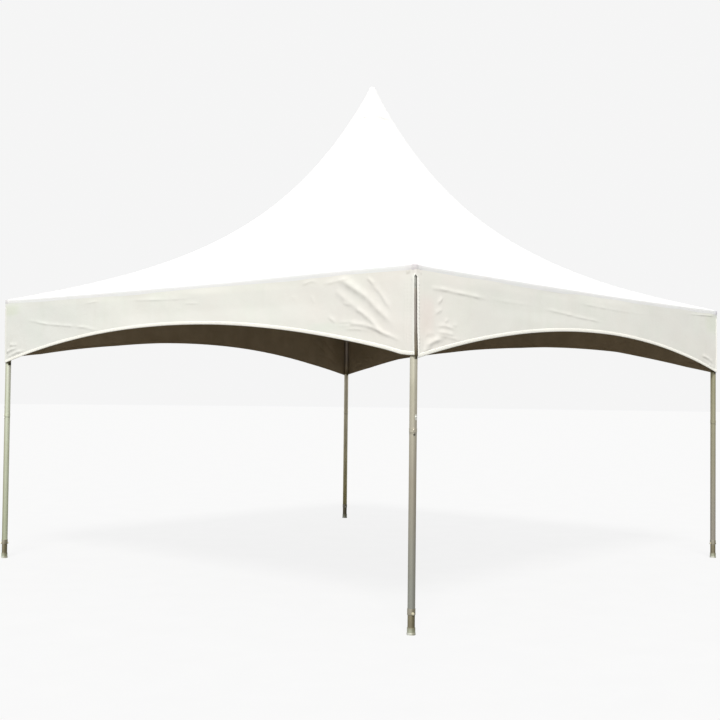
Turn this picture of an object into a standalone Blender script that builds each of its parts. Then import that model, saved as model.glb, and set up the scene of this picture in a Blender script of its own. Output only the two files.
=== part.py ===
"""High-peak frame marquee tent, 16 ft square, as a Blender model.

Four tube legs carry four eave beams. Cables cross from corner to corner and
hold up a short centre mast, which lifts the canopy to its peak. Valances with
arched lower edges hang from the eaves.

Run with: blender --background --python part.py
Units are metres, +Z is up, and the origin is on the ground under the mast.
"""

import math

import bmesh
import bpy
from mathutils import Matrix, Vector

# Driving dimensions of the tent
SIDE = 4.88                # outer face to outer face of the valances
EAVE_Z = 2.41              # outer top edge of the canopy
PEAK_Z = 4.55              # top of the peak cap
VALANCE_CORNER_Z = 1.82    # lower edge of a valance at the legs
VALANCE_CROWN_Z = 2.10     # lower edge of a valance at mid span

# Canopy
FABRIC = 0.004             # thickness of the canopy and valances
ROOF_TIP_Z = 4.577         # where the panels would meet without the rounded cap
ROOF_STRAIGHT = 0.2225     # share of the rise that is a straight slope
ROOF_CURL = 3.55           # how sharply the rest of the rise turns up at the mast
FLAT_STRIP_RUN = 0.05      # share of the run that lies flat over the eave beam
PANEL_END_RUN = 0.9815     # the panels stop here, under the peak cap
PANEL_ROWS = 18            # rows between the flat strip and the panel's end
ROW_GATHER = 1.6           # how much closer the rows lie toward the mast
CAP_RUNS = (0.9877, 0.975, 0.960, 0.945)  # shares where the peak cap follows the panels
CAP_TOP = ((0.010, 4.545), (0.022, 4.527))       # distance and height on its rounded top
CAP_TOP_INNER = ((0.0182, 4.524), (0.008, 4.541))
SLIT_TOP_DROP = 0.065      # the corner slit starts this far below the eave
SLIT_TOP_WIDTH = 0.012     # half of the corner slit at its top
SLIT_BOTTOM_WIDTH = 0.026  # half of the corner slit at its foot
ARCH_SEGMENTS = 28
CUT_ALLOWANCE = 0.2        # extra length on a panel before its mitres are cut
CUT_TOLERANCE = 1e-6
WELD_DISTANCE = 1e-5
SMOOTH_ANGLE = 35          # degrees, sharper edges stay crisp

# Frame
TUBE_R = 0.0254            # 2 in tube
TUBE_BORE_R = 0.0222
SPIGOT_R = 0.0219          # insert that slides into a tube
SPIGOT_LENGTH = 0.10
LEG_INSET = 0.031          # leg axis from the outer face of the valance
LEG_JOINT_Z = 1.33         # where the two halves of a leg meet
LEG_INSERT_UP = 0.15
LEG_INSERT_DOWN = 0.08
LEG_INSERT_BORE_R = 0.0185
FITTING_ARM = 0.12         # corner fitting, from its centre to a tube's end
ELBOW_R = 0.0252           # rounded outside of the elbow
SPLICE_HALF = 0.03         # half of the flush collar between two beam tubes
ROUND_STEPS = 24

# Feet
FOOT_TOP_Z = 0.17
FOOT_INSERT_TOP_Z = 0.30
FOOT_BAND_R = 0.0275
FOOT_BODY_R = 0.0245
FOOT_BAND_LOW_Z = 0.13
FOOT_RING_TOP_Z = 0.046
FOOT_RIM_TOP_Z = 0.012
FOOT_RIM_R = 0.030

# Mast and cables
HUB_LUG_Z = 2.20           # where the cable lines cross the mast's axis
HUB_R = 0.045
HUB_TOP_Z = 2.24
HUB_BOTTOM_Z = 2.16
HUB_CHAMFER = 0.010
MAST_TOP_Z = 4.41
MAST_CAP_R = 0.036
MAST_CAP_SHOULDER_Z = 4.44
MAST_CAP_TOP = ((0.012, 4.530), (0.026, 4.500), (0.033, 4.470))  # radius and height
CABLE_R = 0.004
CORNER_LUG_REACH = 0.13    # cable lug's end from the fitting's centre
HUB_LUG_REACH = 0.095      # cable lug's end from the mast's axis
LUG_THICK = 0.010
LUG_HEIGHT = 0.044

# Small clearance that touching pieces keep
GAP = 0.0003

HALF = SIDE / 2
AXIS = HALF - LEG_INSET
CORNERS = (("front_left", 0), ("front_right", 1), ("back_right", 2), ("back_left", 3))
SIDES = (("front", 0), ("right", 1), ("back", 2), ("left", 3))


def roof_z(run):
    """Height of the canopy at a share of the way from the eave to the peak."""
    curl = (math.exp(ROOF_CURL * run) - 1) / (math.exp(ROOF_CURL) - 1)
    return EAVE_Z + (ROOF_TIP_Z - EAVE_Z) * (ROOF_STRAIGHT * run + (1 - ROOF_STRAIGHT) * curl)


def roof_point(run, offset=0.0):
    """Distance from the axis and height on a panel, moved out along its normal."""
    step = 1e-4
    slope = (roof_z(run + step) - roof_z(run)) / (HALF * step)
    length = math.hypot(slope, 1.0)
    return HALF * (1 - run) + offset * slope / length, roof_z(run) + offset / length


EAVE_SLOPE = (roof_z(FLAT_STRIP_RUN) - EAVE_Z) / (HALF * FLAT_STRIP_RUN)
EAVE_SLANT = math.hypot(EAVE_SLOPE, 1.0)
EDGE_UNDER_Z = EAVE_Z - FABRIC * EAVE_SLANT
BEAM_Z = EAVE_Z + LEG_INSET * EAVE_SLOPE - (FABRIC + GAP + TUBE_R) * EAVE_SLANT
CABLE_RUN = Vector((AXIS * math.sqrt(2), 0, BEAM_Z - HUB_LUG_Z))
CABLE_TILT = math.atan2(CABLE_RUN.z, CABLE_RUN.x)


def clear_scene():
    for old in list(bpy.data.objects):
        bpy.data.objects.remove(old, do_unlink=True)


def new_collection(name):
    group = bpy.data.collections.new(name)
    bpy.context.scene.collection.children.link(group)
    return group


def principled(name, colour, roughness, metallic):
    material = bpy.data.materials.new(name)
    material.use_nodes = True
    shader = material.node_tree.nodes["Principled BSDF"]
    shader.inputs["Base Color"].default_value = (*colour, 1.0)
    shader.inputs["Roughness"].default_value = roughness
    shader.inputs["Metallic"].default_value = metallic
    return material


def place(name, mesh, material, at=(0, 0, 0), turn=(0, 0, 0)):
    """One named sub-part made from a mesh."""
    piece = bpy.data.objects.new(name, mesh)
    if not mesh.materials:
        mesh.materials.append(material)
    piece.location = at
    piece.rotation_euler = turn
    TENT.objects.link(piece)
    return piece


def evaluated_mesh(piece, name):
    """The mesh of an object with its modifiers, in the scene's own axes."""
    bpy.context.view_layer.update()
    graph = bpy.context.evaluated_depsgraph_get()
    mesh = bpy.data.meshes.new_from_object(piece.evaluated_get(graph))
    mesh.name = name
    mesh.transform(piece.matrix_world)
    return mesh


def weld(mesh):
    shape = bmesh.new()
    shape.from_mesh(mesh)
    bmesh.ops.remove_doubles(shape, verts=shape.verts, dist=WELD_DISTANCE)
    shape.to_mesh(mesh)
    shape.free()


def shade_round(mesh):
    mesh.shade_smooth()
    mesh.set_sharp_from_angle(angle=math.radians(SMOOTH_ANGLE))


def turned_mesh(name, outline, closed, steps=ROUND_STEPS):
    """A profile of (radius, height) points turned about Z.

    The outline runs down the outer side. An open outline starts and ends on
    the axis, and a closed one is a tube's wall.
    """
    profile = bpy.data.meshes.new(name + "_profile")
    points = [(radius, 0.0, height) for radius, height in outline]
    edges = [(i, i + 1) for i in range(len(points) - 1)]
    if closed:
        edges.append((len(points) - 1, 0))
    profile.from_pydata(points, edges, [])
    holder = bpy.data.objects.new(name + "_turning", profile)
    TENT.objects.link(holder)
    screw = holder.modifiers.new("turn", "SCREW")
    screw.steps = steps
    screw.render_steps = steps
    screw.use_merge_vertices = True
    screw.merge_threshold = WELD_DISTANCE
    mesh = evaluated_mesh(holder, name)
    bpy.data.objects.remove(holder, do_unlink=True)
    weld(mesh)
    shade_round(mesh)
    return mesh


def tube_outline(bottom, top):
    return [(TUBE_R, top), (TUBE_R, bottom), (TUBE_BORE_R, bottom), (TUBE_BORE_R, top)]


def rod(radius, start, end):
    """A solid cylinder between two points, as an object for a union."""
    line = Vector(end) - Vector(start)
    bpy.ops.mesh.primitive_cylinder_add(vertices=ROUND_STEPS, radius=radius, depth=line.length)
    piece = bpy.context.object
    turn = line.to_track_quat("Z", "Y").to_matrix().to_4x4()
    piece.matrix_world = Matrix.Translation((Vector(start) + Vector(end)) / 2) @ turn
    return piece


def ball(radius):
    bpy.ops.mesh.primitive_uv_sphere_add(segments=ROUND_STEPS, ring_count=12, radius=radius)
    return bpy.context.object


def plate(reach, turn):
    """A cable lug from the centre out along a direction, as an object for a union."""
    bpy.ops.mesh.primitive_cube_add(size=1.0)
    piece = bpy.context.object
    size = Matrix.Diagonal((reach, LUG_THICK, LUG_HEIGHT, 1.0))
    piece.matrix_world = turn @ Matrix.Translation((reach / 2, 0, 0)) @ size
    return piece


def union_mesh(name, pieces):
    """One closed mesh from overlapping solids."""
    body = pieces[0]
    for other in pieces[1:]:
        join = body.modifiers.new("join", "BOOLEAN")
        join.operation = "UNION"
        join.solver = "EXACT"
        join.object = other
    mesh = evaluated_mesh(body, name)
    for piece in pieces:
        bpy.data.objects.remove(piece, do_unlink=True)
    weld(mesh)
    shade_round(mesh)
    return mesh


def quarter_turn(number):
    return Matrix.Rotation(number * math.pi / 2, 4, "Z")


def corner_place(number):
    """Where a corner's axis meets the ground, and how far it is turned."""
    at = quarter_turn(number) @ Vector((-AXIS, -AXIS, 0))
    return at, (0, 0, number * math.pi / 2)


def add_legs():
    """Two tubes a leg: the lower one carries the insert that joins them."""
    lower = turned_mesh("leg_lower", [
        (SPIGOT_R, LEG_JOINT_Z + LEG_INSERT_UP),
        (SPIGOT_R, LEG_JOINT_Z),
        (TUBE_R, LEG_JOINT_Z),
        (TUBE_R, FOOT_TOP_Z + GAP),
        (TUBE_BORE_R, FOOT_TOP_Z + GAP),
        (TUBE_BORE_R, LEG_JOINT_Z - LEG_INSERT_DOWN),
        (LEG_INSERT_BORE_R, LEG_JOINT_Z - LEG_INSERT_DOWN),
        (LEG_INSERT_BORE_R, LEG_JOINT_Z + LEG_INSERT_UP),
    ], closed=True)
    top = BEAM_Z - FITTING_ARM - GAP
    upper = turned_mesh("leg_upper", tube_outline(LEG_JOINT_Z + GAP, top), closed=True)
    for corner, number in CORNERS:
        at, turn = corner_place(number)
        place("leg_lower_" + corner, lower, TUBE_METAL, at, turn)
        place("leg_upper_" + corner, upper, TUBE_METAL, at, turn)


def add_feet():
    """A turned base under each leg, with an insert up its bore."""
    mesh = turned_mesh("foot", [
        (0, FOOT_INSERT_TOP_Z),
        (SPIGOT_R, FOOT_INSERT_TOP_Z),
        (SPIGOT_R, FOOT_TOP_Z),
        (FOOT_BAND_R, FOOT_TOP_Z),
        (FOOT_BAND_R, FOOT_BAND_LOW_Z),
        (FOOT_BODY_R, FOOT_BAND_LOW_Z),
        (FOOT_BODY_R, FOOT_RING_TOP_Z),
        (FOOT_BAND_R, FOOT_RING_TOP_Z),
        (FOOT_BAND_R, FOOT_RIM_TOP_Z),
        (FOOT_RIM_R, FOOT_RIM_TOP_Z),
        (FOOT_RIM_R, 0),
        (0, 0),
    ], closed=False)
    for corner, number in CORNERS:
        at, turn = corner_place(number)
        place("foot_" + corner, mesh, FOOT_METAL, at, turn)


def add_corner_fittings():
    """Three-way elbows: a leg below, two beams beside, and a cable lug."""
    reach = FITTING_ARM + SPIGOT_LENGTH
    arms = [Vector((1, 0, 0)), Vector((0, 1, 0)), Vector((0, 0, -1))]
    pieces = [ball(ELBOW_R)]
    for arm in arms:
        pieces.append(rod(TUBE_R, arm * 0, arm * FITTING_ARM))
        pieces.append(rod(SPIGOT_R, arm * FITTING_ARM / 2, arm * reach))
    inward = Matrix.Rotation(math.pi / 4, 4, "Z") @ Matrix.Rotation(CABLE_TILT, 4, "Y")
    pieces.append(plate(CORNER_LUG_REACH, inward))
    mesh = union_mesh("corner_fitting", pieces)
    for corner, number in CORNERS:
        at, turn = corner_place(number)
        place("corner_fitting_" + corner, mesh, FITTING_METAL, at + Vector((0, 0, BEAM_Z)), turn)


def add_eave_beams():
    """Each side has two tubes with a flush splice between them."""
    start = FITTING_ARM + GAP
    end = AXIS - SPLICE_HALF - GAP
    tube = turned_mesh("eave_beam", tube_outline(start, end), closed=True)
    splice = turned_mesh("eave_splice", [
        (0, SPLICE_HALF + SPIGOT_LENGTH),
        (SPIGOT_R, SPLICE_HALF + SPIGOT_LENGTH),
        (SPIGOT_R, SPLICE_HALF),
        (TUBE_R, SPLICE_HALF),
        (TUBE_R, -SPLICE_HALF),
        (SPIGOT_R, -SPLICE_HALF),
        (SPIGOT_R, -SPLICE_HALF - SPIGOT_LENGTH),
        (0, -SPLICE_HALF - SPIGOT_LENGTH),
    ], closed=False)
    quarter = math.pi / 2
    for side, number in SIDES:
        turn = quarter_turn(number)
        low_end = turn @ Vector((-AXIS, -AXIS, BEAM_Z))
        high_end = turn @ Vector((AXIS, -AXIS, BEAM_Z))
        middle = turn @ Vector((0, -AXIS, BEAM_Z))
        spin = number * quarter
        place("eave_beam_" + side + "_a", tube, TUBE_METAL, low_end, (0, quarter, spin))
        place("eave_beam_" + side + "_b", tube, TUBE_METAL, high_end, (0, -quarter, spin))
        place("eave_splice_" + side, splice, FITTING_METAL, middle, (0, quarter, spin))


def add_mast():
    """The hub on the crossing cables, the mast tube, and its rounded head."""
    hub_body = turned_mesh("hub_body", [
        (0, HUB_TOP_Z + SPIGOT_LENGTH),
        (SPIGOT_R, HUB_TOP_Z + SPIGOT_LENGTH),
        (SPIGOT_R, HUB_TOP_Z),
        (HUB_R - HUB_CHAMFER, HUB_TOP_Z),
        (HUB_R, HUB_TOP_Z - HUB_CHAMFER),
        (HUB_R, HUB_BOTTOM_Z + HUB_CHAMFER),
        (HUB_R - HUB_CHAMFER, HUB_BOTTOM_Z),
        (0, HUB_BOTTOM_Z),
    ], closed=False)
    pieces = [place("hub_body", hub_body, FITTING_METAL)]
    for number in range(4):
        diagonal = quarter_turn(number) @ Matrix.Rotation(math.pi / 4, 4, "Z")
        tilt = Matrix.Rotation(-CABLE_TILT, 4, "Y")
        pieces.append(plate(HUB_LUG_REACH, Matrix.Translation((0, 0, HUB_LUG_Z)) @ diagonal @ tilt))
    place("mast_hub", union_mesh("mast_hub", pieces), FITTING_METAL)

    tube = turned_mesh("centre_mast", tube_outline(HUB_TOP_Z + GAP, MAST_TOP_Z - GAP), closed=True)
    place("centre_mast", tube, TUBE_METAL)

    head = turned_mesh("mast_head", [
        (0, PEAK_Z - FABRIC - 2 * GAP),
        *MAST_CAP_TOP,
        (MAST_CAP_R, MAST_CAP_SHOULDER_Z),
        (MAST_CAP_R, MAST_TOP_Z),
        (SPIGOT_R, MAST_TOP_Z),
        (SPIGOT_R, MAST_TOP_Z - SPIGOT_LENGTH),
        (0, MAST_TOP_Z - SPIGOT_LENGTH),
    ], closed=False)
    place("mast_head", head, FITTING_METAL)


def add_cables():
    """Straight stays from the corner fittings' lugs to the hub's lugs."""
    length = CABLE_RUN.length
    for corner, number in CORNERS:
        outer = quarter_turn(number) @ Vector((-AXIS, -AXIS, BEAM_Z))
        inner = Vector((0, 0, HUB_LUG_Z))
        along = (inner - outer) / length
        line = bpy.data.curves.new("stay_cable_" + corner, "CURVE")
        line.dimensions = "3D"
        line.bevel_depth = CABLE_R
        line.bevel_resolution = 2
        line.use_fill_caps = True
        line.render_resolution_u = 0
        spline = line.splines.new("POLY")
        spline.points.add(1)
        spline.points[0].co = (*(outer + along * (CORNER_LUG_REACH + GAP)), 1)
        spline.points[1].co = (*(inner - along * (HUB_LUG_REACH + GAP)), 1)
        line.materials.append(CABLE_METAL)
        TENT.objects.link(bpy.data.objects.new("stay_cable_" + corner, line))


def outline_mesh(name, points, thickness):
    """A flat outline in X and Y, thickened evenly along Z."""
    curve = bpy.data.curves.new(name + "_outline", "CURVE")
    curve.dimensions = "2D"
    curve.fill_mode = "BOTH"
    curve.extrude = thickness / 2
    spline = curve.splines.new("POLY")
    spline.points.add(len(points) - 1)
    for point, (x, y) in zip(spline.points, points):
        point.co = (x, y, 0, 1)
    spline.use_cyclic_u = True
    holder = bpy.data.objects.new(name + "_outline", curve)
    TENT.objects.link(holder)
    mesh = evaluated_mesh(holder, name)
    bpy.data.objects.remove(holder, do_unlink=True)
    weld(mesh)
    return mesh


def panel_section():
    """The canopy's section from eave to peak, outer line up, inner line back."""
    rows = [0.0, FLAT_STRIP_RUN]
    for number in range(1, PANEL_ROWS + 1):
        share = 1 - (1 - number / PANEL_ROWS) ** ROW_GATHER
        rows.append(FLAT_STRIP_RUN + (PANEL_END_RUN - FLAT_STRIP_RUN) * share)
    outer = [roof_point(run) for run in rows]
    inner = [roof_point(run, -FABRIC) for run in rows]
    inner[0] = (HALF, EDGE_UNDER_Z)
    inner[1] = (outer[1][0], outer[1][1] - FABRIC * EAVE_SLANT)
    return outer + inner[::-1]


def cut_away(shape, normal):
    """Keep what lies behind a plane near the axis, and close the cut."""
    geometry = shape.verts[:] + shape.edges[:] + shape.faces[:]
    bmesh.ops.bisect_plane(
        shape, geom=geometry, dist=CUT_TOLERANCE,
        plane_co=Vector(normal).normalized() * -GAP, plane_no=normal, clear_outer=True,
    )
    border = [edge for edge in shape.edges if edge.is_boundary]
    bmesh.ops.holes_fill(shape, edges=border, sides=0)


def add_canopy():
    """Four mitred panels, each a section extruded and cut on the diagonals."""
    mesh = outline_mesh("canopy_panel", panel_section(), SIDE + CUT_ALLOWANCE)
    stand_up = Matrix(((0, 0, 1, 0), (-1, 0, 0, 0), (0, 1, 0, 0), (0, 0, 0, 1)))
    mesh.transform(stand_up)
    shape = bmesh.new()
    shape.from_mesh(mesh)
    cut_away(shape, (1, 1, 0))
    cut_away(shape, (-1, 1, 0))
    bmesh.ops.recalc_face_normals(shape, faces=shape.faces)
    shape.to_mesh(mesh)
    shape.free()
    shade_round(mesh)
    for side, number in SIDES:
        place("canopy_panel_" + side, mesh, CANOPY_CLOTH, turn=(0, 0, number * math.pi / 2))


def add_peak_cap():
    """A four-sided fabric cap that closes the panels over the mast head."""
    outer = [(0, PEAK_Z), *CAP_TOP]
    outer += [roof_point(run, 2 * GAP + FABRIC) for run in CAP_RUNS]
    inner = [roof_point(run, 2 * GAP) for run in reversed(CAP_RUNS)]
    inner += [*CAP_TOP_INNER, (0, PEAK_Z - FABRIC)]
    outline = [(distance * math.sqrt(2), height) for distance, height in outer + inner]
    mesh = turned_mesh("peak_cap", outline, closed=False, steps=4)
    place("peak_cap", mesh, CANOPY_CLOTH, turn=(0, 0, math.pi / 4))


def arch_z(x):
    """Lower edge of a valance: one parabola from leg to leg."""
    return VALANCE_CROWN_Z - (VALANCE_CROWN_Z - VALANCE_CORNER_Z) * (x / HALF) ** 2


def valance_outline(half_length):
    """A valance seen from outside, with a slit beside each leg."""
    top = EDGE_UNDER_Z - GAP
    slit_top = EAVE_Z - SLIT_TOP_DROP
    slit_x = HALF - SLIT_TOP_WIDTH
    foot_x = HALF - SLIT_BOTTOM_WIDTH
    points = [(-half_length, top), (-half_length, slit_top), (-slit_x, slit_top)]
    for number in range(ARCH_SEGMENTS + 1):
        x = -foot_x + 2 * foot_x * number / ARCH_SEGMENTS
        points.append((x, arch_z(x)))
    points += [(slit_x, slit_top), (half_length, slit_top), (half_length, top)]
    return points


def add_valances():
    """Front and back run from corner to corner, left and right fit between."""
    full = outline_mesh("valance_full", valance_outline(HALF), FABRIC)
    fitted = outline_mesh("valance_fitted", valance_outline(HALF - FABRIC - GAP), FABRIC)
    for side, number in SIDES:
        mesh = full if number % 2 == 0 else fitted
        at = quarter_turn(number) @ Vector((0, -HALF + FABRIC / 2, 0))
        turn = (math.pi / 2, 0, number * math.pi / 2)
        place("valance_" + side, mesh, VALANCE_CLOTH, at, turn)


clear_scene()
TENT = new_collection("marquee_tent")
CANOPY_CLOTH = principled("canopy_cloth", (0.93, 0.93, 0.91), 0.45, 0.0)
VALANCE_CLOTH = principled("valance_cloth", (0.80, 0.80, 0.74), 0.50, 0.0)
TUBE_METAL = principled("tube_metal", (0.62, 0.61, 0.56), 0.38, 0.9)
FITTING_METAL = principled("fitting_metal", (0.52, 0.53, 0.50), 0.45, 0.9)
FOOT_METAL = principled("foot_metal", (0.30, 0.29, 0.24), 0.50, 0.8)
CABLE_METAL = principled("cable_metal", (0.45, 0.46, 0.46), 0.40, 0.9)

add_feet()
add_legs()
add_corner_fittings()
add_eave_beams()
add_mast()
add_cables()
add_canopy()
add_peak_cap()
add_valances()
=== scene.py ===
"""Looks of the high-peak frame marquee tent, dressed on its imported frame.

The canopy, its peak cap and the four valances are thin closed sheets of coated
fabric, made from grids of points that follow the frame. Small hardware is
added where the tubes, cables and feet meet. Units are metres, +Z is up.
"""

import math

import bmesh
import bpy
import numpy as np
from mathutils import Matrix, Vector


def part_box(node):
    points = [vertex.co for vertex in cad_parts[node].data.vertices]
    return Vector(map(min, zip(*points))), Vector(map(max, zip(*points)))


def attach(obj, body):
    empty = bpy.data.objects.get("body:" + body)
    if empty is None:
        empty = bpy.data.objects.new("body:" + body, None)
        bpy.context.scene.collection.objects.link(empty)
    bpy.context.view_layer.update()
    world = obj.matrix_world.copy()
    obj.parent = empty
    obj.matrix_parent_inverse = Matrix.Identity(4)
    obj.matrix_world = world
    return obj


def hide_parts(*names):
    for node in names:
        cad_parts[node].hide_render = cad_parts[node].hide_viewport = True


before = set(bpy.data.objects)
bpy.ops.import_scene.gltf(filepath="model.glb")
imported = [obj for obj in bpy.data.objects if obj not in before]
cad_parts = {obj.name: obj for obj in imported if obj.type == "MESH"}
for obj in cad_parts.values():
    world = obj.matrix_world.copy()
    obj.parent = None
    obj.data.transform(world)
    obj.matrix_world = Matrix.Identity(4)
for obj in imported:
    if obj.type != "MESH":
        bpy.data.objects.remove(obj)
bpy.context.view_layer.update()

UP = Vector((0, 0, 1))
CORNERS = (("front_left", 0), ("front_right", 1), ("back_right", 2), ("back_left", 3))
SIDES = (("front", 0), ("right", 1), ("back", 2), ("left", 3))

# Sizes read from the frame
HALF = -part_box("valance_front")[0].y
PEAK_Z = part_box("peak_cap")[1].z
LEG_LOW, LEG_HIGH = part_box("leg_lower_front_left")
TUBE_R = (LEG_HIGH.x - LEG_LOW.x) / 2
AXIS = -(LEG_HIGH.x + LEG_LOW.x) / 2
BEAM_LOW, BEAM_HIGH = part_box("eave_beam_front_a")
BEAM_Z = (BEAM_LOW.z + BEAM_HIGH.z) / 2
LEG_JOINT_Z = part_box("leg_upper_front_left")[0].z
FITTING_ARM = AXIS + BEAM_LOW.x
SPLICE_HALF = -BEAM_HIGH.x
SHARP_ANGLE = 35           # degrees, sharper edges of the hardware stay crisp
EDGE_HEIGHTS = [
    point.co.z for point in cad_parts["canopy_panel_front"].data.vertices
    if abs(point.co.y + HALF) < 1e-3
]
EAVE_Z = max(EDGE_HEIGHTS)

# Canopy form: the same rule as the frame's panels
ROOF_TIP_Z = 4.577
ROOF_STRAIGHT = 0.2225
ROOF_CURL = 3.55
CANOPY_END_RUN = 0.972
CANOPY_START_RUN = 0.006
CANOPY_ROWS = 64
CANOPY_ROW_GATHER = 1.35
CANOPY_COLUMNS = 60
CANOPY_THICK = 0.0010
EAVE_FOLD_R = 0.007
EAVE_BAND = 0.030          # how far the canopy turns down over the valance
BAND_PROUD = 0.0008
BAND_SUNK = 0.0006         # the band's lower end lies this far inside the eave's face
BAND_EASE = 0.0004
BAND_TUCK = 0.012          # the band's lower edge runs into the valance over this height
BAND_STEP = 0.004          # and stands at its full thickness this far above it
BAND_TINT = (1.04, 1.045, 1.065)
EAVE_TURN_SHADE = (0.80, 0.80, 0.805)    # painted shade of the roof where it turns over the eave
RISE_FADE = 0.90           # the eave's rise dies away over this distance up the roof
CORNER_R = 0.016           # plan radius of the cloth where it turns a corner
HIP_R = 0.009              # plan radius of the hips above the eave
PINCH_RISE = 0.0022        # small upright folds of the band beside each corner
PANEL_SAG = 0.028          # how far a panel dips between its hips
DIAGONAL = 0.7071          # distance to a hip over distance along the side
HIP_SEAM_HALF = 0.021
HIP_SEAM_RISE = 0.0009
CORNER_TENSION = 0.0035    # height of the fine pull lines at the canopy's corners

# Peak cap
CAP_START_RUN = 0.940
CAP_THICK = 0.0014
CAP_LIFT = 0.0018
CAP_TUCK = 0.0012          # the cap's sewn edge lies this far inside the canopy's face

# Valances
VALANCE_CORNER_Z = 1.82
CROWN_Z = {"front": 2.0905, "right": 2.113, "back": 2.099, "left": 2.1015}

# (distance from a side's low end, rise of its eave). The fittings lift the cloth at the corners
EAVE_RISE = {
    "front": (
        (0.0, 0.0155), (0.20, 0.011), (0.60, 0.0085), (1.20, 0.0065), (2.00, 0.0045), (2.60, 0.0035),
        (3.20, 0.0055), (3.80, 0.0095), (4.20, 0.0125), (4.50, 0.0165), (4.88, 0.0175),
    ),
    "right": (
        (0.0, 0.0175), (0.50, 0.013), (1.30, 0.006), (2.44, 0.003), (3.60, 0.006), (4.40, 0.011),
        (4.88, 0.013),
    ),
    "back": (
        (0.0, 0.013), (0.50, 0.011), (1.30, 0.005), (2.44, 0.0), (3.60, -0.002), (4.40, 0.001), (4.88, 0.004),
    ),
    "left": (
        (0.0, 0.004), (0.40, 0.0), (1.10, -0.003), (2.60, -0.003), (3.10, -0.0015), (3.40, 0.0025),
        (3.80, 0.009), (4.20, 0.0125), (4.60, 0.0140), (4.88, 0.0155),
    ),
}

# (distance from a side's low end, rise of its hem above a plain arch)
HEM_TRIM = {
    "front": ((0.0, 0.0), (4.88, 0.0)),
    "right": (
        (0.0, 0.0), (0.30, -0.006), (0.55, 0.0), (0.82, 0.008), (1.09, 0.020), (1.37, 0.015), (1.66, 0.010),
        (1.97, 0.004), (2.27, -0.007), (2.59, -0.010), (2.93, -0.009), (3.27, -0.011), (3.64, -0.002),
        (4.04, 0.014), (4.49, 0.0), (4.88, 0.0),
    ),
    "back": (
        (0.0, 0.0), (0.12, -0.004), (0.67, -0.014), (1.20, -0.009), (1.70, -0.004), (3.01, 0.003),
        (3.60, -0.003), (4.14, 0.005), (4.49, 0.008), (4.69, 0.021), (4.88, 0.030),
    ),
    "left": (
        (0.0, 0.0), (2.98, 0.0), (3.58, -0.003), (4.08, -0.0065), (4.43, -0.0085), (4.63, -0.010),
        (4.77, -0.016), (4.83, -0.010), (4.88, 0.0),
    ),
}

# (half slit at its top, half slit at the hem, hem height) at each end of a side
SLIT_ENDS = {
    "front": ((0.0225, 0.041, 1.811), (0.012, 0.024, 1.818)),
    "right": ((0.012, 0.024, 1.812), (0.012, 0.030, 1.812)),
    "back": ((0.012, 0.022, 1.803), (0.012, 0.026, 1.838)),
    "left": ((0.012, 0.024, 1.823), (0.0105, 0.0035, 1.8275)),
}

VALANCE_THICK = 0.0016
VALANCE_TOP_Z = EAVE_Z - 0.010
TOP_RISE = 0.014           # mean rise of a valance's top near its slits
SLIT_TOP_Z = 2.351
SLIT_ROUND = 0.007         # half the height over which the slit opens at its top
VALANCE_ROWS = 74
FINE_END = 0.10            # length at each end of a valance with the finest columns
FINE_STEP = 0.003
DENSE_END = 1.05           # length at each end with fine columns
DENSE_STEP = 0.0085
COARSE_STEP = 0.027
LONG_WAVE = 0.0022         # height of the slow waves over a whole valance
SHORT_WAVE = 0.0011
WAVE_START = 0.07          # folds and waves grow over this height below the eave
TAPE_WIDTH = 0.023
TAPE_SLIT_WIDTH = 0.019
TAPE_PROUD = 0.0016
TAPE_MITRE = 1.35          # the tape is this many times as wide where it turns a corner
TAPE_TAPER = 6             # stations over which it thins out at the slits' tops

# Hardware
JOINT_BAND_LOW = LEG_JOINT_Z - 0.010
JOINT_BAND_HIGH = LEG_JOINT_Z + 0.016
JOINT_SHADE_Z = LEG_JOINT_Z - 0.017
JOINT_BAND_PROUD = 0.0016
JOINT_RIVET_R = 0.0065
JOINT_HOLE_R = 0.0078
JOINT_HOLE_Z = LEG_JOINT_Z - 0.026
CLIP_Z = 1.420
CLIP_R = 0.0070
CLIP_PROUD = 0.0055
CLIP_TONGUE = (0.036, 0.012, 0.0022)
CLIP_TONGUE_Z = CLIP_Z - 0.020
BUTTON_R = 0.0045
BUTTON_PROUD = 0.0035
BUTTON_FROM_END = 0.040
FOOT_BOLT_Z = 0.139
FOOT_BAND_R = 0.0275
BOLT_HEAD_R = 0.0085
BOLT_HEAD_HIGH = 0.0055
WASHER_R = 0.0105
WASHER_THICK = 0.0016
HUB_TOP_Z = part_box("centre_mast")[0].z
MAST_TOP_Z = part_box("centre_mast")[1].z
HUB_LUG_Z = 2.20
CORNER_LUG_REACH = 0.13
HUB_LUG_REACH = 0.095
LUG_THICK = 0.010
FORK_PLATE = 0.004
FORK_WIDTH = 0.022
FORK_OVERLAP = 0.030       # how far a fork reaches back over its lug
FORK_PIN_R = 0.0045
FORK_BARREL_R = 0.0095
BARREL_LENGTH = 0.034
SWAGE_R = 0.0068
SWAGE_LENGTH = 0.050
SCREW_R = 0.0055
SCREW_SHOWN = 0.030        # length of the screw between the fork and the tensioner
SCREW_SUNK = 0.015
STUD_LENGTH = 0.030
STUD_SUNK = 0.005
STUD_SHOWN = 0.022
TENSIONER_R = 0.0105
TENSIONER_LENGTH = 0.130
ROPE_R = 0.0040
ROPE_LAY = 0.064           # length of one full twist of the strands
ROPE_STEP = 0.008
ROPE_AROUND = 24
ROPE_SUNK = 0.006          # length of the rope inside each swage

# Camera, solved from the eaves, arches, legs and hips in the photograph
CAMERA_AT = (-8.1837, -6.8901, 1.5680)
CAMERA_YAW = -0.8625
CAMERA_PITCH = 0.0305
CAMERA_ROLL = 0.0111
CAMERA_LENS = 55.51
SENSOR = 36.0

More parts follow.
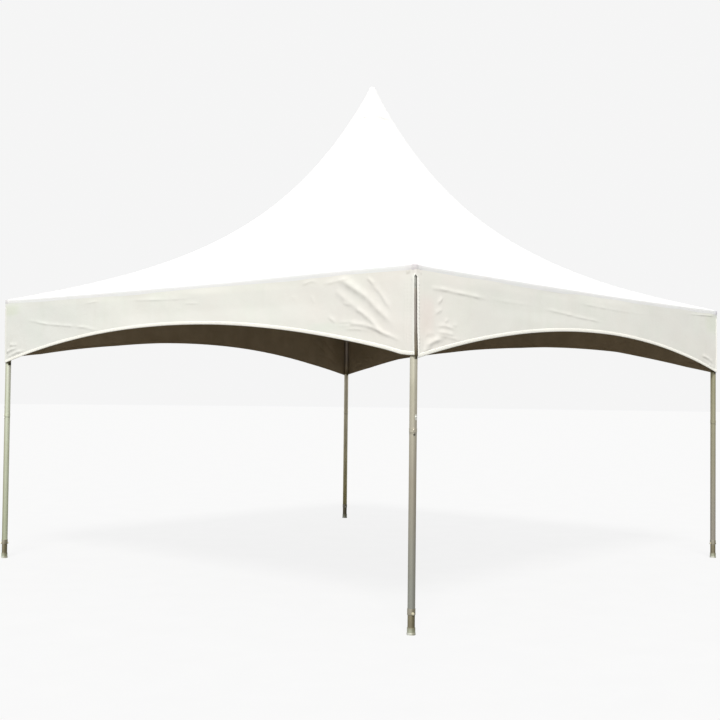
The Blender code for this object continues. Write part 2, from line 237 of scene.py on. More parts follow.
# Light, set so that the tones of cloth and legs match the photograph
SUN_STRENGTH = 3.60
SUN_SPREAD = 16            # degrees
SUN_COLOUR = (1.0, 0.985, 0.955)
SUN_TOWARD = (-0.585, -0.49, 0.92)
SKY_STRENGTH = 0.56
SKY_COLOUR = (0.985, 0.99, 1.0, 1)
BACKDROP_COLOUR = (0.915, 0.915, 0.915, 1)
FLOOR_R = 120
FLOOR_TONES = (0.862, 0.872)       # as the camera sees it
FLOOR_LIT = (0.26, 0.26, 0.25)     # as it throws light back under the canopy


# Painted light and shade on the metal, and the colours of a foot

# Painted shade on a leg behind the valances, from SLIT_SHADE_LOW up to SLIT_SHADE_HIGH
SLIT_SHADE_LOW = 1.80
SLIT_SHADE_HIGH = 2.40
SLIT_SHADE = (
    (0.0, (1.0, 1.0, 1.0)), (0.020, (1.0, 1.0, 1.0)), (0.036, (0.22, 0.19, 0.13)),
    (0.083, (0.34, 0.30, 0.25)), (0.142, (0.48, 0.43, 0.40)), (0.25, (0.46, 0.43, 0.42)),
    (0.42, (0.60, 0.57, 0.65)), (0.68, (0.61, 0.585, 0.66)), (1.0, (0.85, 0.83, 0.82)),
)

# Painted shadow: a leg's shaded side is dark over a short height at the slit's foot
LIP_LOW = 1.80
LIP_HIGH = 1.825
LIP_SOFT = 0.003
LIP_TURN = (0.54, 0.64)
LIP_SHADOW_COLOUR = (0.075, 0.065, 0.035)

# Painted shade: a dark line on a leg under the band at its joint
JOINT_SHADE_HALF = 0.004
JOINT_SHADE_FADE = 0.009          # the line has died away at this distance from its middle
JOINT_SHADE_SHARE = 0.20          # share of this colour in the line
JOINT_SHADE_COLOUR = (0.05, 0.045, 0.035)

# Painted light and shade of each leg, darker toward the bottom: multipliers low down, half way and near its
# head
LEG_TONE_LOW = 0.30
LEG_TONE_HIGH = 1.75
LEG_TONES = {
    "front_left": ((0.505, 0.53, 0.57), (0.62, 0.585, 0.57), (0.925, 0.915, 0.90)),
    "front_right": ((0.535, 0.508, 0.525), (0.56, 0.54, 0.49), (0.58, 0.57, 0.475)),
    "back_right": ((0.54, 0.49, 0.28), (0.765, 0.71, 0.60), (0.97, 0.91, 0.86)),
    "back_left": ((0.78, 0.84, 0.735), (0.965, 1.03, 0.955), (1.16, 1.24, 1.20)),
}

# Level direction in which the posts lose the light, and their painted light and shade round to it
SHADED_SIDE = (0.654, -0.757, 0.0)
LEG_TURNS = {
    "front_left": (
        (0.0, (1.24, 1.22, 1.21)), (0.20, (1.17, 1.16, 1.15)), (0.45, (1.08, 1.07, 1.06)),
        (0.60, (0.94, 0.93, 0.92)), (0.76, (0.82, 0.80, 0.79)), (1.0, (0.92, 0.88, 0.86)),
    ),
    "front_right": (
        (0.0, (1.42, 1.42, 1.40)), (0.22, (1.24, 1.24, 1.22)), (0.50, (1.02, 1.02, 1.0)),
        (1.0, (0.93, 0.90, 0.87)),
    ),
    "back_right": ((0.0, (1.06, 1.06, 1.06)), (1.0, (0.97, 0.97, 0.97))),
    "back_left": (
        (0.0, (0.86, 0.80, 0.74)), (0.20, (0.84, 0.79, 0.73)), (0.36, (1.0, 1.0, 0.99)),
        (0.75, (1.0, 1.0, 1.0)), (1.0, (1.08, 1.08, 1.06)),
    ),
}
# Painted light and shade round a foot to its shaded side
FOOT_TURN = (
    (0.0, (1.16, 1.16, 1.18)), (0.28, (1.16, 1.16, 1.17)), (0.46, (1.06, 1.06, 1.04)),
    (0.60, (0.76, 0.75, 0.70)), (0.74, (0.60, 0.59, 0.52)), (0.88, (0.60, 0.59, 0.52)),
    (1.0, (0.82, 0.82, 0.78)),
)

# Colours of a foot up its height, as shares of FOOT_ZONE_HIGH
FOOT_ZONE_HIGH = 0.20
FOOT_ZONES = (
    (0.05, (0.78, 0.79, 0.72)), (0.09, (0.55, 0.56, 0.45)), (0.12, (0.54, 0.57, 0.44)),
    (0.22, (0.44, 0.43, 0.33)), (0.26, (0.27, 0.245, 0.17)), (0.61, (0.30, 0.27, 0.18)),
    (0.66, (0.385, 0.36, 0.285)), (0.85, (0.465, 0.435, 0.355)),
)


def turn_side(number):
    return Matrix.Rotation(number * math.pi / 2, 4, "Z")


def smoothstep(low, high, value):
    share = np.clip((value - low) / (high - low), 0.0, 1.0)
    return share * share * (3 - 2 * share)


def roof_z(run):
    """Height of the canopy at a share of the way from the eave to the peak."""
    curl = (np.exp(ROOF_CURL * run) - 1) / (math.exp(ROOF_CURL) - 1)
    return EAVE_Z + (ROOF_TIP_Z - EAVE_Z) * (ROOF_STRAIGHT * run + (1 - ROOF_STRAIGHT) * curl)


# Materials

class Nodes:
    """A short way to build one material's node tree."""

    def __init__(self, name):
        self.material = bpy.data.materials.new(name)
        self.material.use_nodes = True
        self.tree = self.material.node_tree
        self.shader = self.tree.nodes["Principled BSDF"]

    def add(self, kind, settings=None, **inputs):
        node = self.tree.nodes.new("ShaderNode" + kind)
        for key, value in (settings or {}).items():
            setattr(node, key, value)
        for key, value in inputs.items():
            self.feed(node.inputs[key.replace("_", " ")], value)
        return node

    def feed(self, socket, value):
        if isinstance(value, bpy.types.NodeSocket):
            self.tree.links.new(value, socket)
        else:
            socket.default_value = value

    def set(self, key, value):
        self.feed(self.shader.inputs[key], value)

    def finish(self, colour, roughness, normal, **others):
        """Feed the shader, and return the material."""
        for key, value in {"Base Color": colour, "Roughness": roughness, "Normal": normal, **others}.items():
            self.set(key.replace("_", " "), value)
        return self.material

    def coordinates(self, kind, scale=(1, 1, 1)):
        source = self.add("TexCoord").outputs[kind]
        mapping = self.add("Mapping", Vector=source, Scale=scale)
        return mapping.outputs["Vector"]

    def noise(self, vector, scale, detail=4.0, roughness=0.55):
        node = self.add("TexNoise", Vector=vector, Scale=scale, Detail=detail, Roughness=roughness)
        return node.outputs["Fac"]

    def ramp(self, value, stops):
        node = self.add("ValToRGB", Fac=value)
        band = node.color_ramp
        while len(band.elements) < len(stops):
            band.elements.new(0.5)
        for element, (place, colour) in zip(band.elements, stops):
            element.position = place
            element.color = (*colour, 1.0) if len(colour) == 3 else colour
        return node.outputs["Color"]

    def span(self, value, low, high, to_low=0.0, to_high=1.0):
        node = self.add("MapRange", Value=value)
        for key, number in (("From Min", low), ("From Max", high), ("To Min", to_low), ("To Max", to_high)):
            node.inputs[key].default_value = number
        return node.outputs["Result"]

    def math(self, kind, first, second=0.0, third=0.0):
        node = self.add("Math", {"operation": kind})
        for socket, value in zip(node.inputs, (first, second, third)):
            self.feed(socket, value)
        return node.outputs["Value"]

    def facing(self, direction):
        """How far the surface faces a fixed direction, from 0 to 1."""
        node = self.add("VectorMath", {"operation": "DOT_PRODUCT"})
        self.feed(node.inputs[0], self.add("NewGeometry").outputs["Normal"])
        self.feed(node.inputs[1], direction)
        return self.span(node.outputs["Value"], -1.0, 1.0)

    def mix(self, share, first, second, kind="MIX"):
        node = self.add("Mix", {"data_type": "RGBA", "blend_type": kind})
        self.feed(node.inputs["Factor"], share)
        self.feed(node.inputs["A"], as_colour(first))
        self.feed(node.inputs["B"], as_colour(second))
        return node.outputs["Result"]

    def times(self, first, second, share=1.0):
        return self.mix(share, first, second, "MULTIPLY")

    def waves(self, vector, direction, scale, distortion=0.0):
        settings = {"wave_type": "BANDS", "bands_direction": direction, "wave_profile": "SIN"}
        node = self.add("TexWave", settings, Vector=vector, Scale=scale, Distortion=distortion)
        return node.outputs["Fac"]

    def bump(self, height, distance, strength=1.0, normal=None):
        node = self.add("Bump", Height=height, Distance=distance, Strength=strength)
        if normal is not None:
            self.feed(node.inputs["Normal"], normal)
        return node.outputs["Normal"]


def as_colour(value):
    if isinstance(value, bpy.types.NodeSocket) or len(value) == 4:
        return value
    return (*value, 1.0)


def scrim(nodes, uv):
    """The woven scrim that shows faintly through coated cloth, 1.6 mm apart."""
    return nodes.math("MAXIMUM", *[nodes.waves(uv, direction, 200.0) for direction in ("X", "Y")])


def stitches(nodes, uv, lines, pitch=0.007, width=0.0011):
    """A mask of thread lines at given V heights, dashed along U."""
    parts = nodes.add("SeparateXYZ", Vector=uv)
    along = nodes.math("PINGPONG", parts.outputs["X"], pitch / 2)
    dash = nodes.span(along, 0.16 * pitch, 0.24 * pitch)
    mask = None
    for line in lines:
        away = nodes.math("ABSOLUTE", nodes.math("SUBTRACT", parts.outputs["Y"], line))
        near = nodes.span(away, width * 0.45, width * 0.75, 1.0, 0.0)
        mask = near if mask is None else nodes.math("MAXIMUM", mask, near)
    return nodes.math("MULTIPLY", mask, dash)


def coated_cloth(name, colour, dirt, roughness, stitch_lines=(), tinted=False):
    """White vinyl-coated polyester: semi-gloss, faint scrim, soft creases and stains."""
    nodes = Nodes(name)
    uv = nodes.coordinates("UV")
    blotches = nodes.noise(uv, 1.7, 5.0, 0.6)
    streaks = nodes.noise(nodes.coordinates("UV", (7.0, 0.9, 1.0)), 1.0, 6.0, 0.62)
    grime = nodes.math("MULTIPLY", nodes.span(blotches, 0.44, 0.80), nodes.span(streaks, 0.40, 0.75))
    shade = nodes.mix(grime, colour, dirt)
    cast = nodes.ramp(nodes.noise(uv, 2.9, 2.0), (
        (0.36, (1.0, 0.985, 0.982)), (0.5, (1, 1, 1)), (0.64, (0.978, 1.0, 0.985)),
    ))
    shade = nodes.times(shade, cast, 0.55)
    # The tint attribute holds painted light and shade per vertex, some with a colour tint
    if tinted:
        tint = nodes.add("Attribute", {"attribute_name": "tint"}).outputs["Color"]
        shade = nodes.times(shade, tint)
    crumple = nodes.noise(uv, 7.0, 5.0, 0.5)
    normal = nodes.bump(crumple, 0.006, 0.35)
    grain = nodes.noise(uv, 900.0, 2.0)
    normal = nodes.bump(grain, 0.0002, 0.35, normal)
    normal = nodes.bump(scrim(nodes, uv), 0.00012, 0.5, normal)
    if stitch_lines:
        thread = stitches(nodes, uv, stitch_lines)
        shade = nodes.mix(thread, shade, (0.90, 0.89, 0.85))
        normal = nodes.bump(thread, 0.0006, 1.0, normal)
    rough = nodes.span(nodes.noise(uv, 14.0), 0.3, 0.7, roughness - 0.06, roughness + 0.08)
    return nodes.finish(shade, rough, normal, Specular_IOR_Level=0.45, Sheen_Weight=0.06)


def dark_inner_cloth(name):
    """The dark brown opaque inner side of the cloth; its darkness is partly painted shade of the tent's
    inside.
    """
    nodes = Nodes(name)
    uv = nodes.coordinates("UV")
    blotches = nodes.noise(uv, 2.3, 5.0, 0.6)
    shade = nodes.ramp(blotches, (
        (0.30, (0.315, 0.240, 0.148)), (0.52, (0.395, 0.305, 0.198)), (0.75, (0.465, 0.368, 0.248)),
    ))
    bands = nodes.noise(nodes.coordinates("UV", (3.2, 0.25, 1.0)), 1.0, 3.0)
    shade = nodes.mix(nodes.span(bands, 0.35, 0.65, 0.0, 0.35), shade, (0.260, 0.205, 0.120))
    normal = nodes.bump(nodes.noise(uv, 7.0, 5.0, 0.5), 0.006, 0.35)
    normal = nodes.bump(scrim(nodes, uv), 0.0003, 0.8, normal)
    rough = nodes.span(nodes.noise(uv, 30.0), 0.3, 0.7, 0.58, 0.72)
    return nodes.finish(shade, rough, normal, Specular_IOR_Level=0.3)


def tape_cloth(name, dull, clean):
    """Bright woven binding tape with two lines of thread along it."""
    nodes = Nodes(name)
    uv = nodes.coordinates("UV")
    soil = nodes.noise(uv, 9.0, 5.0, 0.6)
    shade = nodes.ramp(soil, ((0.30, clean), (0.65, clean), (0.82, dull)))
    thread = stitches(nodes, uv, (0.35 * TAPE_WIDTH, 0.80 * TAPE_WIDTH))
    normal = nodes.bump(nodes.waves(uv, "X", 330.0, 0.4), 0.0003, 0.6)
    normal = nodes.bump(thread, 0.0006, 1.0, normal)
    shade = nodes.mix(thread, shade, (0.86, 0.84, 0.74))
    return nodes.finish(shade, nodes.span(soil, 0.3, 0.7, 0.55, 0.72), normal, Sheen_Weight=0.12)


def leg_shade(nodes, shade, tones, turn):
    """A leg's colour with painted light and shade up its height and round to its shaded side.

    Behind the valances, out of the light, it gets painted shade and is much darker, with painted shadow at
    the slit's foot and painted shade under the joint band.
    """
    height = nodes.add("SeparateXYZ", Vector=nodes.coordinates("Object")).outputs["Z"]
    # Painted light and shade up the leg
    cast = nodes.ramp(nodes.span(height, LEG_TONE_LOW, LEG_TONE_HIGH), tuple(zip((0.0, 0.48, 1.0), tones)))
    # Painted shade behind the valances
    depth = nodes.ramp(nodes.span(height, SLIT_SHADE_LOW, SLIT_SHADE_HIGH), SLIT_SHADE)
    # Painted light and shade round to the shaded side
    facing = nodes.facing(SHADED_SIDE)
    for part in (cast, depth, nodes.ramp(facing, turn)):
        shade = nodes.times(shade, part)
    # Painted shadow at the slit's foot on the leg's shaded side
    above = nodes.span(height, LIP_LOW - LIP_SOFT, LIP_LOW + LIP_SOFT)
    below = nodes.span(height, LIP_HIGH - LIP_SOFT, LIP_HIGH + LIP_SOFT, 1.0, 0.0)
    lip = nodes.math("MULTIPLY", nodes.math("MULTIPLY", above, below), nodes.span(facing, *LIP_TURN))
    shade = nodes.mix(lip, shade, LIP_SHADOW_COLOUR)
    # Painted shade in a line under the joint band
    from_joint = nodes.math("ABSOLUTE", nodes.math("SUBTRACT", height, JOINT_SHADE_Z))
    return nodes.mix(nodes.span(from_joint, JOINT_SHADE_HALF, JOINT_SHADE_FADE, JOINT_SHADE_SHARE, 0.0), shade, JOINT_SHADE_COLOUR)


def tube_metal(name, axis, tones=None, turn=None):
    """Weathered drawn aluminium with fine lines along the tube.

    The tones are a leg's painted light and shade low down, half way and near its head, and turn holds its
    painted light and shade from its lit side round to its shaded one.
    """
    nodes = Nodes(name)
    stretch = {"X": (1.2, 60, 60), "Y": (60, 1.2, 60), "Z": (60, 60, 1.2)}[axis]
    lines = nodes.noise(nodes.coordinates("Object", stretch), 6.0, 6.0, 0.6)
    clouds = nodes.noise(nodes.coordinates("Object", (1, 1, 0.45)), 9.0, 6.0, 0.65)
    shade = nodes.ramp(clouds, (
        (0.28, (0.68, 0.665, 0.54)), (0.50, (0.855, 0.84, 0.70)), (0.74, (0.95, 0.935, 0.81)),
    ))
    shade = nodes.mix(nodes.span(lines, 0.40, 0.70, 0.0, 0.30), shade, (0.50, 0.485, 0.38))
    if tones:
        shade = leg_shade(nodes, shade, tones, turn)
    rough = nodes.span(lines, 0.30, 0.70, 0.34, 0.52)
    metallic = nodes.span(clouds, 0.30, 0.70, 0.62, 0.86)
    return nodes.finish(shade, rough, nodes.bump(lines, 0.0003, 0.5), Metallic=metallic)


def cast_metal(name, dark, light, roughness, metallic=0.8):
    """Cast or plated metal with a fine grain and duller pits."""
    nodes = Nodes(name)
    where = nodes.coordinates("Object")
    clouds = nodes.noise(where, 24.0, 6.0, 0.6)
    grain = nodes.noise(where, 420.0, 3.0)
    shade = nodes.ramp(clouds, ((0.30, dark), (0.65, light)))
    rough = nodes.span(clouds, 0.30, 0.70, roughness + 0.10, roughness - 0.06)
    return nodes.finish(shade, rough, nodes.bump(grain, 0.0004, 0.5), Metallic=metallic)


def foot_metal(name):
    """Foot casting: grey band on top, dark weathered body, paler ring and rim, with painted light and shade
    round to its shaded side.
    """
    nodes = Nodes(name)
    where = nodes.coordinates("Object")
    height = nodes.add("SeparateXYZ", Vector=where).outputs["Z"]
    spots = nodes.noise(where, 46.0, 6.0, 0.65)
    shifted = nodes.math("ADD", height, nodes.span(spots, 0.3, 0.7, -0.004, 0.004))
    zones = nodes.ramp(nodes.math("MULTIPLY", shifted, 1 / FOOT_ZONE_HIGH), FOOT_ZONES)
    # Painted light and shade round the foot
    zones = nodes.times(zones, nodes.ramp(nodes.facing(SHADED_SIDE), FOOT_TURN))
    rust = nodes.span(nodes.noise(where, 85.0, 5.0, 0.7), 0.55, 0.80)
    shade = nodes.mix(rust, zones, (0.20, 0.14, 0.08))
    rough = nodes.span(spots, 0.3, 0.7, 0.40, 0.62)
    metallic = nodes.span(rust, 0.0, 1.0, 0.65, 0.15)
    return nodes.finish(shade, rough, nodes.bump(spots, 0.0008, 0.5), Metallic=metallic)


# Sheets of cloth from grids of points

def grid_normals(points, closed):
    """Unit normals of a (rows, columns, 3) grid, pointing to its outer side."""
    if closed:
        wrapped = np.concatenate([points[:, -1:], points, points[:, :1]], axis=1)
        along = (wrapped[:, 2:] - wrapped[:, :-2])
    else:
        along = np.gradient(points, axis=1)
    up = np.gradient(points, axis=0)
    normal = np.cross(along, up)
    return normal / np.maximum(np.linalg.norm(normal, axis=2, keepdims=True), 1e-12)


def sheet_piece(name, points, thickness, closed, uv, materials, tip=False, tint=None):
    """A thin closed sheet whose outer side passes through a grid of points.

    Rows run up and columns run to the right as seen from outside. Slot 0 is the
    outer side and the rims, and slot 1 is the inner side. With tip, the last
    row is closed by one face on each side.
    """
    rows, columns = points.shape[:2]
    inner = points - grid_normals(points, closed) * thickness
    number = np.arange(rows * columns).reshape(rows, columns)
    back = number + rows * columns
    shape = bmesh.new()
    verts = [shape.verts.new(co) for co in np.concatenate([points.reshape(-1, 3), inner.reshape(-1, 3)])]
    layer = shape.loops.layers.uv.new("UVMap")
    spans = columns if closed else columns - 1

    def face(corners, places, slot, smooth):
        made = shape.faces.new([verts[i] for i in corners])
        made.material_index = slot
        made.smooth = smooth
        for loop, (i, j) in zip(made.loops, places):
            loop[layer].uv = uv[i, j]

    for i in range(rows - 1):
        for j in range(spans):
            k = (j + 1) % columns
            quad = [number[i, j], number[i, k], number[i + 1, k], number[i + 1, j]]
            places = [(i, j), (i, j + 1), (i + 1, j + 1), (i + 1, j)]
            face(quad, places, 0, True)
            reverse = (0, 3, 2, 1)    # both sides split along the same diagonal
            face([quad[n] + rows * columns for n in reverse], [places[n] for n in reverse], 1, True)
    for j in range(spans):
        k = (j + 1) % columns
        face([back[0, j], back[0, k], number[0, k], number[0, j]], [(0, j), (0, j + 1)] * 2, 0, False)
        if not tip:
            rim = [number[-1, j], number[-1, k], back[-1, k], back[-1, j]]
            face(rim, [(-1, j), (-1, j + 1)] * 2, 0, False)
    if tip:
        face(list(number[-1]), [(-1, j) for j in range(columns)], 0, True)
        face(list(back[-1][::-1]), [(-1, j) for j in range(columns)][::-1], 1, True)
    if not closed:
        for i in range(rows - 1):
            low_end = [number[i, 0], number[i + 1, 0], back[i + 1, 0], back[i, 0]]
            face(low_end, [(i, 0), (i + 1, 0)] * 2, 0, False)
            high_end = [number[i + 1, -1], number[i, -1], back[i, -1], back[i + 1, -1]]
            face(high_end, [(i + 1, -1), (i, -1)] * 2, 0, False)
    for edge in shape.edges:
        edge.smooth = all(side.smooth for side in edge.link_faces)
    mesh = to_mesh(name, shape, materials)
    if tint is not None:
        colours = np.ones((len(mesh.vertices), 4), np.float32)
        colours[:, :3] = np.concatenate([tint.reshape(-1, 3)] * 2)
        layer = mesh.color_attributes.new("tint", "FLOAT_COLOR", "POINT")
        layer.data.foreach_set("color", colours.ravel())
    return show(name, mesh)


def to_mesh(name, shape, materials):
    mesh = bpy.data.meshes.new(name)
    shape.to_mesh(mesh)
    shape.free()
    for material in materials:
        mesh.materials.append(material)
    return mesh


def show(name, mesh):
    piece = bpy.data.objects.new(name, mesh)
    bpy.context.scene.collection.objects.link(piece)
    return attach(piece, "root")


# Canopy

def eave_profile():
    """(distance from the axis, height, plan corner radius) up the band and over the fold."""
    slope = math.atan2(float(roof_z(0.02) - roof_z(0.0)), HALF * 0.02)
    side = HALF + BAND_PROUD
    centre = side - EAVE_FOLD_R
    fold_z = EAVE_Z + (HALF - centre - EAVE_FOLD_R * math.sin(slope)) * math.tan(slope)
    fold_z -= EAVE_FOLD_R * math.cos(slope)
    low = EAVE_Z - EAVE_BAND
    profile = [(HALF - BAND_SUNK, low - BAND_TUCK), (side - BAND_EASE, low), (side, low + BAND_STEP)]
    profile += [(side, EAVE_Z - EAVE_BAND * 0.65), (side, EAVE_Z - EAVE_BAND * 0.40)]
    steps = 5
    for step in range(steps + 1):
        angle = (math.pi / 2 - slope) * step / steps
        profile.append((centre + EAVE_FOLD_R * math.cos(angle), fold_z + EAVE_FOLD_R * math.sin(angle)))
    return [(distance, height, CORNER_R) for distance, height in profile]


def hip_radius(run):
    """Plan radius of the canopy's corner: tight at the eave, rounder at the peak."""
    width = HALF * (1 - run)
    return min(CORNER_R + (HIP_R - CORNER_R) * float(smoothstep(0.0, 0.12, run)), 0.22 * width)


def side_columns(flat_half, radius):
    """Plan offsets (along, inward) across one side, from one hip to the next.

    Columns beside a hip keep their distance from it, so that the welded seam
    there keeps its width. The last few turn half way round the corner.
    """
    steps = (0.0, 0.010, HIP_SEAM_HALF, HIP_SEAM_HALF + 0.004, 0.034, 0.044, 0.056, 0.072)
    tight = min(1.0, 0.4 * flat_half / steps[-1])
    edge = [flat_half - step * tight for step in steps]
    share = np.linspace(-1, 1, CANOPY_COLUMNS + 1)
    gathered = np.sign(share) * (1 - (1 - np.abs(share)) ** 1.25)
    middle = gathered[1:-1] * edge[-1]
    flat = np.concatenate([[-x for x in edge], middle, edge[::-1]])
    turns = np.radians([12.0, 26.0, 38.0, 45.0])
    arc_x = flat_half + radius * np.sin(turns)
    arc_in = radius * (1 - np.cos(turns))
    along = np.concatenate([-arc_x[:-1][::-1], flat, arc_x])
    inward = np.concatenate([arc_in[:-1][::-1], np.zeros(len(flat)), arc_in])
    return along, inward


def ring_points(width, height, radius):
    """One closed ring of the canopy, with its distance along each side."""
    along, inward = side_columns(width - radius, radius)
    ring = []
    for _, number in SIDES:
        turn = np.array(turn_side(number))[:3, :3]
        side = np.stack([along, -width + inward, np.full_like(along, height)], axis=1)
        ring.append(side @ turn.T)
    return np.concatenate(ring), np.concatenate([along] * 4)


def row_lengths(rows):
    """Length of cloth from the first row up to each row."""
    lengths = [0.0]
    for low, high in zip(rows, rows[1:]):
        lengths.append(lengths[-1] + math.hypot(high[0] - low[0], high[1] - low[1]))
    return lengths


def ring_uv(points, lengths, start):
    """Cloth coordinates of rings, in metres round and up from the ring at start."""
    uv = np.zeros((len(points), points.shape[1] + 1, 2))
    base = np.linalg.norm(np.diff(points[start], axis=0, append=points[start][:1]), axis=1)
    uv[:, 1:, 0] = np.cumsum(base)
    uv[:, :, 1] = (np.array(lengths) - lengths[start])[:, None]
    return uv


def pull_lines(corner_distance, angle, seed):
    """Fine ridges that run out from a corner of the canopy where it is pulled."""
    waves = np.sin(angle * 23 + seed) + 0.6 * np.sin(angle * 41 + 2.3 * seed)
    fade = smoothstep(0.05, 0.30, corner_distance) * np.exp(-corner_distance / 0.55)
    return CORNER_TENSION * waves * fade


def eave_rise(side, from_low):
    """Rise of a side's eave at distances from its low end."""
    return np.interp(from_low, *zip(*EAVE_RISE[side]))


def canopy_tint_and_shade(ring, away, run):
    """Colour of one ring: a brighter, bluer band, painted shade where the roof turns over the eave, and
    painted shade at the corners, strongest at the front right one.
    """
    inner = float(smoothstep(0.012, 0.060, HALF * run))
    over = np.array(EAVE_TURN_SHADE) * (1 - inner) + inner
    tint = np.ones((len(ring), 3)) * (over if run > 0.0 else np.array(BAND_TINT))
    # Painted shade at the corners: a tight grey one at each and a wider one, strongest at the front right
    grey = np.exp(-(away / 0.034) ** 2)[:, None] * np.array((0.28, 0.305, 0.285))
    right = ((ring[:, 0] > 0) & (ring[:, 1] < 0))[:, None]
    wide = np.exp(-(away / 0.085) ** 4)[:, None] * np.where(right, (0.14, 0.15, 0.10), (0.03, 0.045, 0.04))
    return tint * (1 - grey) * (1 - wide)


def corner_pinch(from_corner):
    """How far the band's upright folds beside a corner stand out."""
    fold = np.exp(-((from_corner - 0.052) / 0.011) ** 2)
    second = 0.55 * np.exp(-((from_corner - 0.024) / 0.009) ** 2)
    return PINCH_RISE * (fold + second)


def add_canopy(outer, dark_inner):
    """One sheet from the turned-down eave band up to the peak."""
    rows = [(distance, height, radius, 0.0) for distance, height, radius in eave_profile()]
    for step in range(1, CANOPY_ROWS + 1):
        share = 1 - (1 - step / CANOPY_ROWS) ** CANOPY_ROW_GATHER
        run = CANOPY_START_RUN + (CANOPY_END_RUN - CANOPY_START_RUN) * share
        rows.append((HALF * (1 - run), float(roof_z(run)), hip_radius(run), run))
    points, tints = [], []
    for index, (width, height, radius, run) in enumerate(rows):
        ring, along = ring_points(width, height, radius)
        across = np.clip(np.abs(along) / max(width, 1e-6), 0, 1)
        dip = PANEL_SAG * math.sin(math.pi * min(run, 1.0)) ** 0.8 * (1 - across ** 2)
        from_hip = (width - np.abs(along)) * DIAGONAL
        seam = HIP_SEAM_RISE * (1 - smoothstep(HIP_SEAM_HALF * 0.70, HIP_SEAM_HALF * 0.74, from_hip))
        away = np.hypot(HALF - np.abs(along), HALF - width)
        angle = np.arctan2(HALF - width + 1e-6, HALF - np.abs(along) + 1e-6)
        clear = smoothstep(0.03, 0.16, from_hip) * float(smoothstep(0.08, 0.22, HALF - width))
        pulls = pull_lines(away, angle, 1.7 * np.sign(along)) * clear
        rise = np.concatenate([
            eave_rise(side, HALF * (1 + part / width)) for (side, _), part in zip(SIDES, np.split(along, 4))
        ])
        rise *= 1 - float(smoothstep(0.0, RISE_FADE, HALF - width))
        ring[:, 2] += seam * (run > 0) - dip + pulls + rise
        # Painted shade at the eave's turn and the corners, and a brighter band, as a tint per vertex
        tints.append(canopy_tint_and_shade(ring, away, run))
        if run == 0.0 and index:
            ring *= (1 + corner_pinch(HALF - np.abs(along)) / HALF)[:, None] ** np.array([1, 1, 0])
        points.append(ring)
    points = np.array(points)
    lengths = row_lengths(rows)
    uv = ring_uv(points, lengths, sum(1 for row in rows if row[3] == 0.0) - 1)
    tint = np.array(tints)
    piece = sheet_piece("canopy_cloth", points, CANOPY_THICK, True, uv, (outer, dark_inner), tint=tint)
    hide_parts(*["canopy_panel_" + side for side, _ in SIDES])
    return piece


def add_peak_cap(outer, dark_inner):
    """A small cap of the same cloth, sewn over the canopy's end at the mast head."""
    rows = []
    for run in (CAP_START_RUN, CAP_START_RUN + 0.0025, 0.950, 0.957, 0.964, 0.971, 0.977, 0.982, 0.9865):
        lift = CAP_LIFT if run > CAP_START_RUN else -CAP_TUCK
        width = HALF * (1 - run)
        slope = float(roof_z(run + 1e-4) - roof_z(run)) / (HALF * 1e-4)
        slant = math.hypot(slope, 1.0)
        rows.append((width + lift * slope / slant, float(roof_z(run)) + lift / slant, run))
    rows += [(0.0215, PEAK_Z - 0.0180, 0.99), (0.0125, PEAK_Z - 0.0060, 0.993)]
    rows += [(0.0055, PEAK_Z - 0.0012, 0.996), (0.0010, PEAK_Z, 1.0)]
    points = []
    for width, height, run in rows:
        roundness = 0.24 + 0.50 * float(smoothstep(0.985, 0.998, run))
        ring, _ = ring_points(width, height, max(width * roundness, 0.0005))
        points.append(ring)
    points = np.array(points)
    lengths = row_lengths(rows)
    uv = ring_uv(points, lengths, 0)
    piece = sheet_piece("peak_cap_cloth", points, CAP_THICK, True, uv, (outer, dark_inner), tip=True)
    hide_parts("peak_cap")
    return piece


# Valances: fold lines in face coordinates

class Crest:
    """A fold line: (distance from the face's end, height) points along a crest."""

    def __init__(self, points, rise, widths, lean=0.35, fade=0.22):
        self.points = np.array(points, float)
        self.rise = rise
        self.widths = widths
        self.lean = lean
        self.fade = fade

    def samples(self):
        """The crest as a smooth line of evenly shared points."""
        first = 2 * self.points[0] - self.points[1]
        last = 2 * self.points[-1] - self.points[-2]
        pts = np.vstack([first, self.points, last])
        line = []
        for i in range(1, len(pts) - 2):
            p0, p1, p2, p3 = pts[i - 1:i + 3]
            for t in np.linspace(0, 1, 10, endpoint=False):
                line.append(0.5 * (2 * p1 + (p2 - p0) * t + (2 * p0 - 5 * p1 + 4 * p2 - p3) * t ** 2
                                   + (3 * p1 - p0 - 3 * p2 + p3) * t ** 3))
        line.append(pts[-2])
        return np.array(line)

    def height(self, a, z):
        """Outward rise at places (a, z). The flank on the lean side is steeper."""
        line = self.samples()
        tangent = np.gradient(line, axis=0)
        tangent /= np.linalg.norm(tangent, axis=1, keepdims=True)
        da = a[..., None] - line[:, 0]
        dz = z[..., None] - line[:, 1]
        nearest = np.argmin(da ** 2 + dz ** 2, axis=-1)
        da, dz = (np.take_along_axis(offset, nearest[..., None], -1)[..., 0] for offset in (da, dz))
        along = nearest / (len(line) - 1)
        t = tangent[nearest]
        across = da * -t[..., 1] + dz * t[..., 0]
        beyond = np.abs(da * t[..., 0] + dz * t[..., 1])
        above = np.where(line[0, 0] > line[-1, 0], -across, across)
        width = self.widths[0] + (self.widths[1] - self.widths[0]) * along
        side_width = np.where(above > 0, width * (1 + self.lean), width * (1 - self.lean))
        body = np.exp(-(np.abs(above) / side_width) ** 1.7) * np.exp(-(beyond / width) ** 2)
        ends = smoothstep(0, self.fade, along) * smoothstep(0, self.fade, 1 - along)
        uneven = 1 + 0.20 * np.sin(31 * a - 23 * z) + 0.12 * np.sin(67 * a + 41 * z)
        return self.rise * body * ends * uneven


